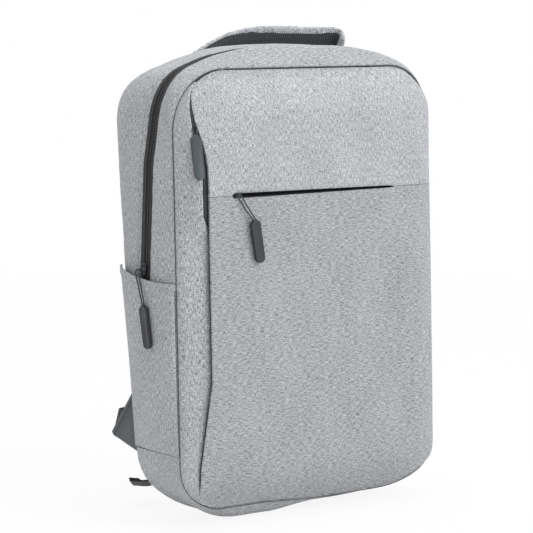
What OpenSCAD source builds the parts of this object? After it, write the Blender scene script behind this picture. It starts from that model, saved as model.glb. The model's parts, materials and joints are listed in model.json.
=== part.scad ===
// Laptop backpack, standing on its base. Millimetres, +X to the wearer's right seen from the front
// panel, +Y towards the wearer's back, +Z up. Every y in the functions is counted from the plane of
// the front seam, and placed() moves the whole bag so that the Z axis stands in the middle of its base.

/* [Bag] */
// Width over the front seam
bag_w = 308; // [260:1:360]
// Height of the front seam above the floor
seam_top = 428; // [400:1:500]
// Rise of the crown above the front seam
crown = 19; // [12:1:24]
// Height of the lower front seam above the floor
seam_bottom = 12; // [8:1:16]
// Depth of the bag at its base, from the front seam to the back panel
base_depth = 66; // [58:1:90]
// Backward lean of the back panel, run over rise
back_lean = 0.085; // [0.06:0.005:0.12]
// Backward lean of the front seam, run over rise
front_lean = 0.032; // [0:0.004:0.04]
// Radius of the upper corners
top_r = 60; // [45:1:66]
// Radius of the lower corners
bottom_r = 48; // [40:1:56]
// Thickness of a padded wall
wall = 3; // [2:0.2:4]
// Gap left at a seam between two pieces
seam_gap = 0.2; // [0.1:0.05:0.4]

/* [Front panel] */
// How far the front panel stands in front of the seam
panel_bulge = 24; // [16:1:30]
// How far the panel's free edge stands in from the outline
panel_inset = 24; // [14:1:26]
// Height of the pocket slit
slit_z = 311; // [280:1:330]
// Height of the slit's mouth
slit_h = 5.6; // [5.2:0.1:7]
// Left end of the slit
slit_left = -104; // [-110:1:-80]
// Right end of the slit
slit_right = 91; // [60:1:100]

/* [Main zip] */
// Width of the closed zip
zip_w = 17; // [14:1:22]
// Height of the zip's foot on the sides
zip_foot = 220; // [205:1:235]
// Thickness of the zip tape
tape_t = 1.2; // [0.8:0.1:1.6]
// Gap between the two rows of a zip, where the slider's post runs
post_gap = 1.2; // [1:0.1:1.6]

/* [Side pockets] */
// Height of the pocket's mouth at the front seam
mouth_front = 229; // [205:1:245]
// Height of the pocket's mouth at the back seam
mouth_back = 241; // [215:1:255]
// Room inside the pocket
pocket_room = 5.4; // [4.8:0.2:12]
// Thickness of the pocket's cloth
pocket_t = 1.6; // [1:0.2:2.4]

/* [Shoulder straps] */
// Width of a shoulder strap
strap_w = 62; // [50:1:74]
// Thickness of a shoulder strap's foam
strap_t = 11; // [8:0.5:14]
// Thickness of the spacer mesh under a strap
mesh_t = 2.4; // [1.6:0.2:4]
// Width of the adjusting webbing
web_w = 25; // [20:1:30]
// Thickness of the webbing
web_t = 1.6; // [1.2:0.1:2]

/* [Handle] */
// Distance between the handle's roots
handle_span = 188; // [150:1:210]
// Rise of the handle above its roots
handle_rise = 22; // [18:1:30]
// Width of the handle's strip
handle_w = 26; // [22:1:32]
// Thickness of the handle's padded cover
handle_t = 5; // [4:0.5:7]

/* [Zip pulls] */
// Length of a moulded pull tab
tab_l = 40; // [30:1:46]
// Width of a pull tab
tab_w = 10.5; // [8:0.5:12]
// Thickness of a pull tab
tab_t = 4; // [3:0.2:5]
// Diameter of the pull cord
cord_d = 1.3; // [1:0.1:1.5]

/* [Hidden] */

arc_n = 4;
half_w = bag_w / 2;
crown_z = seam_top + crown;
base_seam_z = seam_bottom + bottom_r + 10;
straight_top = seam_top - top_r - 28;
melange = "#b3b5b8";
melange_dark = "#8f9296";
charcoal = "#2d2e30";
moulded = "#4b5052";
web_grey = "#38393b";

function lerp(a, b, t) = a + (b - a) * t;
function unit(v) = v / norm(v);
function clamp(v, low, high) = max(low, min(high, v));

// Planes of the bag at height z.
function seam_y(z) = front_lean * (z - 165);
function back_y(z) = base_depth + back_lean * z;
foot_y = 52.5;
bend_y = 45.5;
top_zip_y = 30;
function zip_y(z) = z <= straight_top
    ? lerp(foot_y, bend_y, (z - zip_foot) / (straight_top - zip_foot))
    : lerp(bend_y, top_zip_y, sin(90 * clamp((z - straight_top) / (crown_z - straight_top), 0, 1)));

// Outline in X and Z: up the right side from the bottom centre, over the top and down the left.
// Points 0 bottom centre, 6 base seam, 7 zip foot, 8 end of the zip's straight run, 14 top centre.
function half_outline(w, top, bottom, rt, rb) = concat(
    [[0, bottom]],
    [for (k = [0:arc_n]) let (a = 90 * k / arc_n - 90)
        [w - rb + rb * cos(a), bottom + rb + rb * sin(a)]],
    [for (z = [base_seam_z, zip_foot, straight_top]) [w, z]],
    [for (k = [0:arc_n]) let (a = 90 * k / arc_n) [w - rt + rt * cos(a), top - rt + rt * sin(a)]],
    [[0, top]]);
function outline(w, top, bottom, rt, rb) = let (h = half_outline(w, top, bottom, rt, rb))
    concat(h, [for (i = [len(h) - 2:-1:1]) [-h[i][0], h[i][1]]]);
i_base = arc_n + 2;
i_foot = arc_n + 3;
i_bend = arc_n + 4;
i_top = 2 * arc_n + 6;
i_all = 2 * i_top;

// Seam rings from front to back, each a list of [x, y, z].
function ring_front() = [for (p = outline(half_w, seam_top, seam_bottom, top_r, bottom_r))
    [p[0], seam_y(p[1]), p[1]]];
function ring_zip(side, sink) = [
    for (p = outline(half_w - sink, crown_z - sink, 0, top_r + 6, bottom_r + 6))
    [p[0], zip_y(p[1]) + side, p[1]]];
function ring_base(y) = [for (p = outline(half_w, crown_z, 0, top_r + 6, bottom_r + 6))
    [p[0], y, p[1]]];
function ring_back(inset) = [for (p = outline(half_w - 4 - inset, crown_z - 6 - inset, 4 + inset,
    top_r + 8 - inset, bottom_r + 8 - inset)) [p[0], back_y(p[1]), p[1]]];

// A sheet of points thickened to one side. Rows run upwards or round the outline, columns across.
function row_normal(g, i, j) =
    let (n = len(g), m = len(g[0]),
        up = g[min(i + 1, n - 1)][j] - g[max(i - 1, 0)][j],
        across = g[i][min(j + 1, m - 1)] - g[i][max(j - 1, 0)])
    unit(cross(up, across));
module sheet(g, t) {
    n = len(g);
    m = len(g[0]);
    e = m - 1;
    outer = [for (i = [0:n - 1], j = [0:e]) g[i][j]];
    inner = [for (i = [0:n - 1], j = [0:e]) g[i][j] + t * row_normal(g, i, j)];
    function o(i, j) = i * m + j;
    function s(i, j) = n * m + i * m + j;
    function quad(a, b, c, d) = [[a, b, c], [a, c, d]];
    faces = concat(
        [for (i = [0:n - 2], j = [0:e - 1],
            f = quad(o(i, j), o(i + 1, j), o(i + 1, j + 1), o(i, j + 1))) f],
        [for (i = [0:n - 2], j = [0:e - 1],
            f = quad(s(i, j), s(i, j + 1), s(i + 1, j + 1), s(i + 1, j))) f],
        [for (i = [0:n - 2], f = quad(o(i, 0), s(i, 0), s(i + 1, 0), o(i + 1, 0))) f],
        [for (i = [0:n - 2], f = quad(o(i, e), o(i + 1, e), s(i + 1, e), s(i, e))) f],
        [for (j = [0:e - 1], f = quad(o(0, j), o(0, j + 1), s(0, j + 1), s(0, j))) f],
        [for (j = [0:e - 1], f = quad(o(n - 1, j), s(n - 1, j), s(n - 1, j + 1), o(n - 1, j + 1))) f]);
    polyhedron(points = concat(outer, inner), faces = faces);
}
// The part of several rings between two outline points, as rows of a sheet.
function strip(rings, first, last) = [for (i = [first:last]) [for (r = rings) r[i % len(r)]]];
// A flat band: its middle line, and the direction of its width at each point.
function band(path, dirs, w) = [for (i = [0:len(path) - 1])
    [path[i] - dirs[i] * w / 2, path[i] + dirs[i] * w / 2]];
// A round cord swept along a route.
module cord(route, d, sides = 8) {
    n = len(route);
    function tangent(i) = unit(route[min(i + 1, n - 1)] - route[max(i - 1, 0)]);
    side_dir = [1, 0.13, 0.07];
    rings = [for (i = [0:n - 1]) let (t = tangent(i), a = unit(cross(t, side_dir)), b = cross(t, a))
        [for (k = [0:sides - 1])
            route[i] + d / 2 * (a * cos(360 * k / sides) + b * sin(360 * k / sides))]];
    polyhedron(points = [for (r = rings, p = r) p], faces = concat(
        [for (i = [0:n - 2], k = [0:sides - 1])
            [i * sides + k, (i + 1) * sides + k, i * sides + (k + 1) % sides]],
        [for (i = [0:n - 2], k = [0:sides - 1])
            [(i + 1) * sides + k, (i + 1) * sides + (k + 1) % sides, i * sides + (k + 1) % sides]],
        [[for (k = [0:sides - 1]) k]],
        [[for (k = [sides - 1:-1:0]) (n - 1) * sides + k]]));
}

// The flat of the base runs from base_front to base_rear, and the Z axis stands in its middle.
base_front = 9;
base_rear = base_depth - 2;
origin_y = (base_front + base_rear) / 2;
module placed() {
    translate([0, -origin_y, 0]) children();
}
module mirrored(side) {
    if (side > 0) children();
    else mirror([1, 0, 0]) children();
}

// Front panel. lens() is how far the free left edge has left the seam, from 0 to 1.
lens_top = seam_top - 12;
lens_bottom = seam_bottom + 4;
lens_run = 90;
function lens(z) = let (t = clamp(min(lens_top - z, z - lens_bottom) / lens_run, 0, 1)) 1 - pow(1 - t, 2);
edge_in = wall + 0.5;
panel_top = seam_top - edge_in;
panel_low = seam_bottom + edge_in;
corner_top = seam_top - top_r;
corner_low = seam_bottom + bottom_r;
// Half width inside the gussets at height z.
function inner_x(z) =
    let (r = z > corner_top ? top_r - edge_in : bottom_r - edge_in,
        rise = z > corner_top ? z - corner_top : max(0, corner_low - z))
    half_w - edge_in - r + sqrt(max(0, r * r - rise * rise));
function edge_x(z) = -inner_x(z) + max(0, panel_inset * lens(z) - edge_in);
function edge_y(z) = seam_y(z) - panel_bulge * lens(z);
crown_run = 46;
function swell(z) = let (t = clamp(min(panel_top - z, z - panel_low) / crown_run, 0, 1)) sin(90 * t);
right_round = 0.12;
function panel_y(u, z) = let (
    from_edge = sin(90 * clamp(u / 0.2, 0, 1)),
    to_seam = sqrt(1 - pow(clamp((u - 1 + right_round) / right_round, 0, 1), 2)))
    seam_y(z) - panel_bulge * lerp(lens(z), swell(z), from_edge) * to_seam;
function panel_point(u, z) = [lerp(edge_x(z), inner_x(z), u), panel_y(u, z), z];
u_left = (slit_left - edge_x(slit_z)) / (half_w - edge_in - edge_x(slit_z));
u_right = (slit_right - edge_x(slit_z)) / (half_w - edge_in - edge_x(slit_z));
u_end = 0.008;
panel_u = [0, u_left / 2, u_left - u_end, u_left, 0.3, 0.5, 0.65, u_right, u_right + u_end,
    1 - right_round, 1 - 0.6 * right_round, 1 - 0.3 * right_round, 1 - 0.1 * right_round, 1];
function slit_half(u) = (u >= u_left && u <= u_right) ? slit_h / 2 : seam_gap;
top_rows = [for (k = [0:arc_n]) corner_top + (top_r - edge_in) * sin(90 * k / arc_n)];
low_rows = [for (k = [arc_n:-1:0]) corner_low - (bottom_r - edge_in) * sin(90 * k / arc_n)];
panel_face_y = seam_y(slit_z) - panel_bulge;

module front_upper_panel() placed() color(melange) {
    rows = concat([straight_top], top_rows);
    sheet(concat(
        [[for (u = panel_u) panel_point(u, slit_z + slit_half(u))]],
        [for (z = rows) [for (u = panel_u) panel_point(u, z)]]), wall);
}
module front_pocket_panel() placed() color(melange) {
    rows = concat(low_rows, [110, 180, 250, 285]);
    sheet(concat(
        [for (z = rows) [for (u = panel_u) panel_point(u, z)]],
        [[for (u = panel_u) panel_point(u, slit_z - slit_half(u))]]), wall);
}
// Pouch behind the slit: a thin back wall that hangs from the upper tape.
zip_depth = wall + 2.2;
pouch_depth = 5.2;
pouch_y = panel_face_y + zip_depth + tape_t + 1.6 + pouch_depth;
pouch_h = 190;
pouch_t = 1;
pocket_tape_w = 9;
module front_pocket_lining() placed() color(charcoal) {
    low = slit_z - pouch_h;
    high = slit_z + pocket_tape_w - 1;
    width = slit_right - slit_left - 12;
    panel_in = seam_y(low) - panel_bulge + wall + seam_gap;
    tape_in = panel_face_y + zip_depth + tape_t + seam_gap;
    translate([slit_left + 6, 0, 0]) {
        translate([0, pouch_y, low]) cube([width, pouch_t, high - low]);
        translate([0, panel_in, low]) cube([width, pouch_y - panel_in + pouch_t, pouch_t]);
        translate([0, tape_in, high - pouch_t]) cube([width, pouch_y - tape_in + pouch_t, pouch_t]);
    }
}

// One half of a straight zip: a tape with its coil row along the inner edge.
coil_w = 2;
coil_t = 1.6;
module zip_half(length, width) {
    translate([post_gap / 2, 0, 0]) cube([width, tape_t, length]);
    translate([post_gap / 2, tape_t, 0]) cube([coil_w, coil_t, length]);
}
module pocket_zip_half(side) placed() color(charcoal)
    translate([slit_left - 3, panel_face_y + zip_depth, slit_z]) rotate([0, 90, 0])
        mirror([side, 0, 0]) zip_half(slit_right - slit_left + 6, pocket_tape_w);
module pocket_zip_upper() pocket_zip_half(1);
module pocket_zip_lower() pocket_zip_half(0);

// Compartment gusset: the lens between the outline seam and the panel's free edge. Its zip runs
// beside that edge, straight between zip_high and zip_low.
zip_high = lens_top - 30;
zip_low = slit_z - 9;
side_zip_z = [lens_bottom + 34, lens_bottom + 60, lens_bottom + 90, zip_low, zip_high, lens_top - 22];
side_zip_drop = wall + 1.6;
side_zip_off = 3.6;
side_tape_w = 5.4;
function side_zip_point(z, off) = [edge_x(z) - side_zip_off + off, edge_y(z) + side_zip_drop, z];
module compartment_gusset() placed() color(melange)
    sheet([for (z = side_zip_z) [
        [-inner_x(z), seam_y(z) - 0.6, z],
        side_zip_point(z, -side_tape_w - wall)]], 1.2);
module compartment_zip_outer() placed() color(charcoal)
    sheet([for (z = side_zip_z)
        [side_zip_point(z, -side_tape_w), side_zip_point(z, -post_gap / 2)]], tape_t);
module compartment_zip_inner() placed() color(charcoal)
    sheet([for (z = side_zip_z)
        [side_zip_point(z, post_gap / 2), side_zip_point(z, side_tape_w)]], tape_t);

// Gussets round the bag and the main zip between them.
zip_sink = 0.8;
module front_gusset() placed() color(melange)
    sheet(strip([ring_front(), ring_zip(-zip_w / 2 - 6, 0), ring_zip(-zip_w / 2 - seam_gap, 0)],
        i_foot, i_all - i_foot), wall);
module rear_gusset() placed() color(melange)
    sheet(strip([ring_zip(zip_w / 2 + seam_gap, 0), ring_base(78), ring_back(0)],
        i_foot, i_all - i_foot), wall);
module main_zip_front() placed() color(charcoal)
    sheet(strip([ring_zip(-zip_w / 2, zip_sink), ring_zip(-post_gap / 2, zip_sink)],
        i_foot, i_all - i_foot), tape_t);
module main_zip_rear() placed() color(charcoal)
    sheet(strip([ring_zip(post_gap / 2, zip_sink), ring_zip(zip_w / 2, zip_sink)],
        i_foot, i_all - i_foot), tape_t);
// Linings: the middle of each gusset's inner face, one skin further in.
lining_t = 0.8;
lining_in = wall + 0.5;
function between(a, b, t) = [for (i = [0:len(a) - 1]) lerp(a[i], b[i], t)];
function sunk(g, d) = [for (i = [0:len(g) - 1])
    [for (j = [0:len(g[0]) - 1]) g[i][j] + d * row_normal(g, i, j)]];
module lining(from, to) placed() color(charcoal) {
    rings = [between(from, to, 0.2), between(from, to, 0.9)];
    sheet(sunk(strip(rings, i_foot, i_all - i_foot), lining_in), lining_t);
}
module front_lining() lining(ring_front(), ring_zip(-zip_w / 2 - 6, 0));
module rear_lining() lining(ring_zip(zip_w / 2 + seam_gap, 0), ring_base(78));

// Sides below the zip's foot, and the bottom.
module side_panel(side) placed() color(melange) mirrored(side)
    sheet([for (z = [base_seam_z + seam_gap, 145, zip_foot - seam_gap])
        [[half_w, seam_y(z), z], [half_w, 40, z], [half_w - 4, back_y(z), z]]], wall);
module left_side_panel() side_panel(-1);
module right_side_panel() side_panel(1);
module bottom_panel() placed() color(melange_dark) {
    rings = [ring_front(), ring_base(base_front), ring_base(base_rear), ring_back(0)];
    sheet(strip(rings, i_all - i_base, i_all + i_base), wall);
}
module base_board() placed() color(charcoal)
    translate([-half_w + 60, base_front + 2, wall + 0.3])
        cube([bag_w - 120, base_rear - base_front - 6, 3]);

// Flat inner panels, drawn in a frame that leans with the front seam or with the back.
module leaned(lean, y) {
    translate([0, y, 0]) rotate([-atan(lean), 0, 0]) children();
}
module rounded_board(w, low, high, r, t) {
    rotate([90, 0, 0]) translate([0, 0, -t]) linear_extrude(t) hull()
        for (x = [-w / 2 + r, w / 2 - r], z = [low + r, high - r]) translate([x, z]) circle(r, $fn = 32);
}
module divider_panel() placed() color(charcoal)
    leaned(front_lean, seam_y(0) + wall + 1.5)
        rounded_board(bag_w - 2 * (lining_in + lining_t + 0.6), seam_bottom + 7, panel_top - 4,
            top_r - 2, divider_t);
divider_t = 5;
back_t = 1.6;
foam_t = 3;
back_foam_y = base_depth - back_t - foam_t - 0.3;
module back_foam() placed() color("#d9d9d4")
    leaned(back_lean, back_foam_y) rounded_board(bag_w - 40, 22, seam_top - 12, 44, foam_t);
module laptop_sleeve() placed() color(charcoal)
    leaned(back_lean, back_foam_y - sleeve_room) {
        rounded_board(sleeve_w, sleeve_low, 300, 12, 2);
        difference() {
            rounded_board(sleeve_w, sleeve_low, 300, 12, sleeve_room - 0.3);
            translate([0, -1, 0]) rounded_board(sleeve_w - 4, sleeve_low + 2, 330, 12, sleeve_room + 2);
        }
    }
sleeve_w = bag_w - 46;
sleeve_low = 24;
sleeve_room = 14;
module sleeve_strap() placed() color(web_grey)
    leaned(back_lean, back_foam_y) translate([-15, -sleeve_room - 1.6, 0]) {
        translate([0, 0, 262]) cube([30, 1.4, 72]);
        translate([0, 1.4, 332.6]) cube([30, sleeve_room, 1.4]);
    }
module back_panel() placed() color(melange_dark)
    leaned(back_lean, base_depth - back_t) rounded_board(
        bag_w - 2 * (wall + 5), wall + 7, crown_z - wall - 9, top_r + 4, back_t);
pad_t = 6;
pad_w = 96;
module back_pad(side) placed() color(web_grey) mirrored(side)
    leaned(back_lean, base_depth + 0.2) translate([pad_w / 2 + 16, 0, 0])
        rounded_board(pad_w, 70, 385, 26, pad_t);
module left_back_pad() back_pad(-1);
module right_back_pad() back_pad(1);

// Shoulder straps hang from strap_root, under the yoke.
root_z = 411;
yoke_t = 3;
root_off = yoke_t + 0.2;
module strap_yoke() placed() color(melange_dark)
    leaned(back_lean, base_depth + 0.2)
        rounded_board(176, (root_z + 0.8) / cos(atan(back_lean)), root_z + 23, 8, yoke_t);
// Middle line of a strap: distance from the centre, distance from the back panel, height.
strap_line = [[46, root_off, root_z], [47, 13, root_z - 11], [49, 24, root_z - 23], [53, 33, 368],
    [60, 38, 340], [68, 41, 300], [75, 40, 262], [81, 37, 225], [86, 33, 195], [88, 31, 172]];
function strap_path(off) = [for (i = [0:len(strap_line) - 1]) let (
    p = strap_line[i],
    a = strap_line[max(i - 1, 0)],
    b = strap_line[min(i + 1, len(strap_line) - 1)],
    t = unit([0, back_y(b[2]) + b[1] - back_y(a[2]) - a[1], b[2] - a[2]]))
    [p[0], back_y(p[2]) + p[1], p[2]] + off * [0, -t[2], t[1]]];
// A strap's width lies level at its root and tips up on the outer side below it.
function strap_sheet(off, w) = band(strap_path(off),
    [for (i = [0:len(strap_line) - 1]) unit([1, 0, 0.14 * min(1, i / 3)])], w);
module strap_pad(side) placed() color(melange) mirrored(side)
    sheet(strap_sheet(0, strap_w), -strap_t);
module strap_mesh(side) placed() color(web_grey) mirrored(side)
    sheet(strap_sheet(-0.2, strap_w - 6), mesh_t);
web_off = strap_t + 0.2;
end_i = len(strap_line) - 1;
module strap_webbing(side) placed() color(web_grey) mirrored(side) {
    rows = strap_sheet(web_off, web_w);
    sheet([for (i = [5:end_i]) rows[i]], -web_t);
}
// Ladder lock: a frame with three cross bars, hung under the end of the strap's webbing.
lock_w = web_w + 8;
lock_h = 30;
lock_t = 4;
lock_z = strap_line[end_i][2] - 5;
lock_y = strap_path(web_off)[end_i][1] - 1;
lock_x = strap_line[end_i][0];
lock_tilt = 8;
module in_lock() {
    translate([lock_x, lock_y, lock_z]) rotate([lock_tilt, 0, 0]) children();
}
module ladder_lock(side) placed() color(moulded) mirrored(side) in_lock() {
    for (x = [-lock_w / 2, lock_w / 2 - 3.4])
        translate([x, -lock_t / 2, -lock_h]) cube([3.4, lock_t, lock_h]);
    for (z = [-2, -14, -lock_h + 2]) translate([-lock_w / 2 + 1, 0, z])
        rotate([0, 90, 0]) cylinder(h = lock_w - 2, d = 4, $fn = 24);
}
// Webbing tail: hangs from the lock on the outer side and turns out above the floor.
tail_path = [[0, 4.2, -4], [0, 4.2, -30], [-1, 2, -60], [-2, -4, -90], [-3, -11, -114], [-7, -16, -131],
    [-16, -15, -142], [-33, -9, -146]];
function tail_dirs() = [for (i = [0:len(tail_path) - 1]) let (t = clamp((i - 3) / 4, 0, 1))
    unit([cos(60 * t), sin(60 * t), 0.4 * t])];
module webbing_tail(side) placed() color(web_grey) mirrored(side)
    in_lock() mirror([1, 0, 0]) sheet(band(tail_path, tail_dirs(), web_w - 1), web_t);

// Tab sewn into the rear seam near the base, and the webbing that leaves its hem.
tab_x = half_w - 6;
tab_low = 64;
tab_high = 129;
tab_tip = [116, 76];
tab_thick = 2.4;
module strap_tab(side) placed() color(melange_dark) mirrored(side)
    translate([tab_x - tab_thick, 0, 0]) rotate([90, 0, 90]) linear_extrude(tab_thick)
        polygon([[back_y(tab_low) + 0.3, tab_low], tab_tip, [back_y(tab_high) + 0.3, tab_high]]);
web_exit = [tab_x - tab_thick / 2, 104, 90];
module lower_webbing(side) placed() color(web_grey) mirrored(side) {
    hem = unit([0, tab_tip[0] - back_y(tab_high), tab_tip[1] - tab_high]);
    path = [web_exit + [0, 1.5, 1.6], web_exit + [-1, 6, 3.5], web_exit + [-7, 8, 4.5],
        web_exit + [-16, 7, 8], web_exit + [-29, 9, 16], [lock_x + 14, lock_y - 4, lock_z - lock_h - 16],
        [lock_x + 2, lock_y - 1, lock_z - lock_h - 4]];
    dirs = [hem, unit([0, 0.5, -0.86]), unit([0.1, 0.4, -0.9]), unit([0.35, 0.35, -0.85]),
        unit([0.65, 0.3, -0.65]), unit([0.92, 0.15, -0.35]), unit([1, 0, 0])];
    sheet(band(path, dirs, web_w), web_t);
}

// Side pockets: one sheet from the front seam to the rear seam, held off the side.
pocket_low = base_seam_z + 0.5;
pocket_foot = half_w + pocket_t + 0.35;
function pocket_x(v) = pocket_foot + pocket_room * sqrt(max(0, sin(180 * v)));
function pocket_edge(v) = lerp(mouth_front, mouth_back, pow(v, 3));
pocket_v = [0, 0.08, 0.2, 0.4, 0.6, 0.8, 0.92, 1];
function pocket_row(k, lift) = [for (v = pocket_v) let (
    z = k >= 1 ? pocket_edge(v) + lift : lerp(pocket_low, pocket_edge(v), k))
    [lerp(pocket_foot, pocket_x(v), min(1, 4 * k)) - 3 * pow(v, 4),
        lerp(seam_y(z) + 0.5, back_y(z) - 1, v), z]];
module side_pocket(side) placed() color(melange) mirrored(side)
    sheet([for (k = [0, 0.12, 0.25, 0.6, 1]) pocket_row(k, 0)], pocket_t);
binding_h = 2;
module pocket_binding(side) placed() color(melange_dark) mirrored(side)
    sheet([pocket_row(1, seam_gap), pocket_row(1, seam_gap + binding_h)], pocket_t);
module left_side_pocket() side_pocket(-1);
module right_side_pocket() side_pocket(1);
module left_pocket_binding() pocket_binding(-1);
module right_pocket_binding() pocket_binding(1);

// Carrying handle: an arch from root to root on the crown, laid back from upright. Its strip widens
// from the roots, more towards the wearer's side.
handle_y = base_depth + 6;
handle_z = crown_z + 0.5;
handle_back = 64;
root_w = 9;
handle_arc = [for (k = [0:12]) let (s = k / 6 - 1)
    [handle_span / 2 * s, 0, handle_rise * pow(max(0, 1 - pow(abs(s), 2.6)), 0.75)]];
module handle_strip(off, inset, t, first) placed()
    translate([0, handle_y, handle_z]) rotate([-handle_back, 0, 0])
        sheet([for (i = [12 - first:-1:first]) let (
            a = handle_arc[max(i - 1, 0)],
            b = handle_arc[min(i + 1, 12)],
            up = unit([a[2] - b[2], 0, b[0] - a[0]]),
            p = handle_arc[i] + off * up,
            grown = clamp(min(i, 12 - i) / 3, 0, 1))
            [p - [0, lerp(root_w, 0.44 * handle_w, grown) - inset, 0],
             p + [0, lerp(0, 0.48 * handle_w, grown) - inset, 0]]], t);
module handle_cover() color(melange) handle_strip(handle_t, 0, handle_t, 0);
module handle_mesh() color(charcoal) handle_strip(-0.1, 3.6, 1.6, 1);
// Sewn ends of the handle on the crown, outside its moving roots.
module handle_anchor(side) placed() color(melange_dark) mirrored(side)
    translate([handle_span / 2 + 3.4, handle_y - 6, crown_z - 1.5]) cube([10, 12, 6.5]);

module left_handle_anchor() handle_anchor(-1);
module right_handle_anchor() handle_anchor(1);

// Zip slider in its own frame: the zip runs along Z, x points out of the cloth, and the tapes lie
// between x = -tape_t and x = 0. The bail's hole runs across the zip.
slide_gap = 0.3;
plate_t = 1.6;
post_w = post_gap - 0.6;
plate_w = 8;
plate_l = 11;
bail_hole = 1.2;
bail_out = plate_t + slide_gap + 1.9;
bail_t = 2.4;
module slider_body(turned = false) {
    translate([slide_gap, -plate_w / 2, -plate_l / 2]) cube([plate_t, plate_w, plate_l]);
    translate([-tape_t - coil_t - slide_gap - 1.2, -plate_w / 2, -plate_l / 2])
        cube([1.2, plate_w, plate_l]);
    translate([-tape_t - coil_t - slide_gap - 0.2, -post_w / 2, -plate_l / 2 + 0.6])
        cube([tape_t + coil_t + 2 * slide_gap + 0.4, post_w, 3]);
    rotate([turned ? 90 : 0, 0, 0]) difference() {
        union() {
            translate([bail_out, bail_t / 2, 0]) rotate([90, 0, 0])
                cylinder(h = bail_t, r = bail_hole + 0.8, $fn = 32);
            translate([slide_gap + plate_t - 0.2, -bail_t / 2, -bail_hole - 0.8])
                cube([bail_out - slide_gap - plate_t + 0.2, bail_t, 2 * bail_hole + 1.6]);
        }
        translate([bail_out, bail_t, 0]) rotate([90, 0, 0])
            cylinder(h = 2 * bail_t, r = bail_hole, $fn = 32);
    }
}
// Pull in the frame of its bail: down is -Z, x points out, the cord loops through along Y.
// out and aside are where the tab hangs, drop is how far its top is below the bail.
module pull_cord(out, aside, drop, lip) {
    half = [[0, 0, 0], [0, 1.2, 0], [0.4, 2.1, -0.4], [lip[0], 2.5, lip[1]],
        [lerp(lip[0], out, 0.5), 2.2, -drop / 2 - 1], [out, 1.8, -drop - 1]];
    function shift(p) = p + [0, aside * clamp((-p[2] - 3.4) / (drop - 3.4), 0, 1), 0];
    route = concat([for (i = [len(half) - 1:-1:1]) shift([half[i][0], -half[i][1], half[i][2]])],
        [for (p = half) shift(p)]);
    cord(route, cord_d);
}
module pull_tab(out, aside, drop, tilt) {
    translate([out - tab_t / 2, aside, -drop - 1.3]) rotate([tilt, 0, 0]) rotate([0, 90, 0])
        linear_extrude(tab_t) hull() for (s = [tab_w / 2, tab_l - tab_w / 2])
            translate([s, 0]) circle(d = tab_w, $fn = 32);
}

// Main slider, parked at the foot of the left side. The slide runs along main_dir.
main_z = 241;
main_dir = unit([0, bend_y - foot_y, straight_top - zip_foot]);
module on_main_zip() placed()
    translate([-half_w + zip_sink, zip_y(main_z), main_z])
        rotate([atan2(-main_dir[1], main_dir[2]), 0, 0]) rotate([0, 0, 180]) children();
main_out = 7.2;
main_drop = 31;
main_aside = 14;
module main_slider() color(moulded) on_main_zip() slider_body();
module main_pull_cord() color(web_grey) on_main_zip() translate([bail_out, 0, 0])
    pull_cord(main_out, main_aside, main_drop, [5.4, -2.6]);
module main_pull_tab() color(moulded) on_main_zip() translate([bail_out, 0, 0])
    pull_tab(main_out + 0.2, main_aside, main_drop, 7);

// Pocket slider, parked at the left end of the slit. The slide runs along +X.
pocket_x0 = slit_left + 7;
module on_pocket_zip() placed()
    translate([pocket_x0, panel_face_y + zip_depth, slit_z]) rotate([0, 0, -90]) children();
pocket_out = 7.2;
pocket_drop = 22;
module pocket_slider() color(moulded) on_pocket_zip() rotate([90, 0, 0]) slider_body(true);
module pocket_pull_cord() color(web_grey) on_pocket_zip() translate([bail_out, 0, 0])
    pull_cord(pocket_out, 14, pocket_drop, [3.4, -1.2]);
module pocket_pull_tab() color(moulded) on_pocket_zip() translate([bail_out, 0, 0])
    pull_tab(pocket_out, 14, pocket_drop, 10);

// Compartment slider, parked near the top of the panel's free edge.
side_z = zip_high - 10;
side_t = (side_z - zip_low) / (zip_high - zip_low);
side_at = lerp(side_zip_point(zip_low, 0), side_zip_point(zip_high, 0), side_t);
side_dir = unit(side_zip_point(zip_high, 0) - side_zip_point(zip_low, 0));
module on_side_zip() placed()
    translate(side_at) rotate([atan2(-side_dir[1], side_dir[2]), 0, 0])
        rotate([0, asin(side_dir[0]), 0]) rotate([0, 0, -90]) children();
side_out = 4.6;
side_drop = 9;
side_aside = -2;
module side_slider() color(moulded) on_side_zip() slider_body();
module side_pull_cord() color(web_grey) on_side_zip() translate([bail_out, 0, 0])
    pull_cord(side_out, side_aside, side_drop, [2.6, -3]);
module side_pull_tab() color(moulded) on_side_zip() translate([bail_out, 0, 0])
    pull_tab(side_out, side_aside, side_drop, -4);

module left_strap_tab() strap_tab(-1);
module right_strap_tab() strap_tab(1);
module left_lower_webbing() lower_webbing(-1);
module right_lower_webbing() lower_webbing(1);
module left_strap_pad() strap_pad(-1);
module left_strap_mesh() strap_mesh(-1);
module left_strap_webbing() strap_webbing(-1);
module left_ladder_lock() ladder_lock(-1);
module left_webbing_tail() webbing_tail(-1);
module right_strap_pad() strap_pad(1);
module right_strap_mesh() strap_mesh(1);
module right_strap_webbing() strap_webbing(1);
module right_ladder_lock() ladder_lock(1);
module right_webbing_tail() webbing_tail(1);

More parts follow.
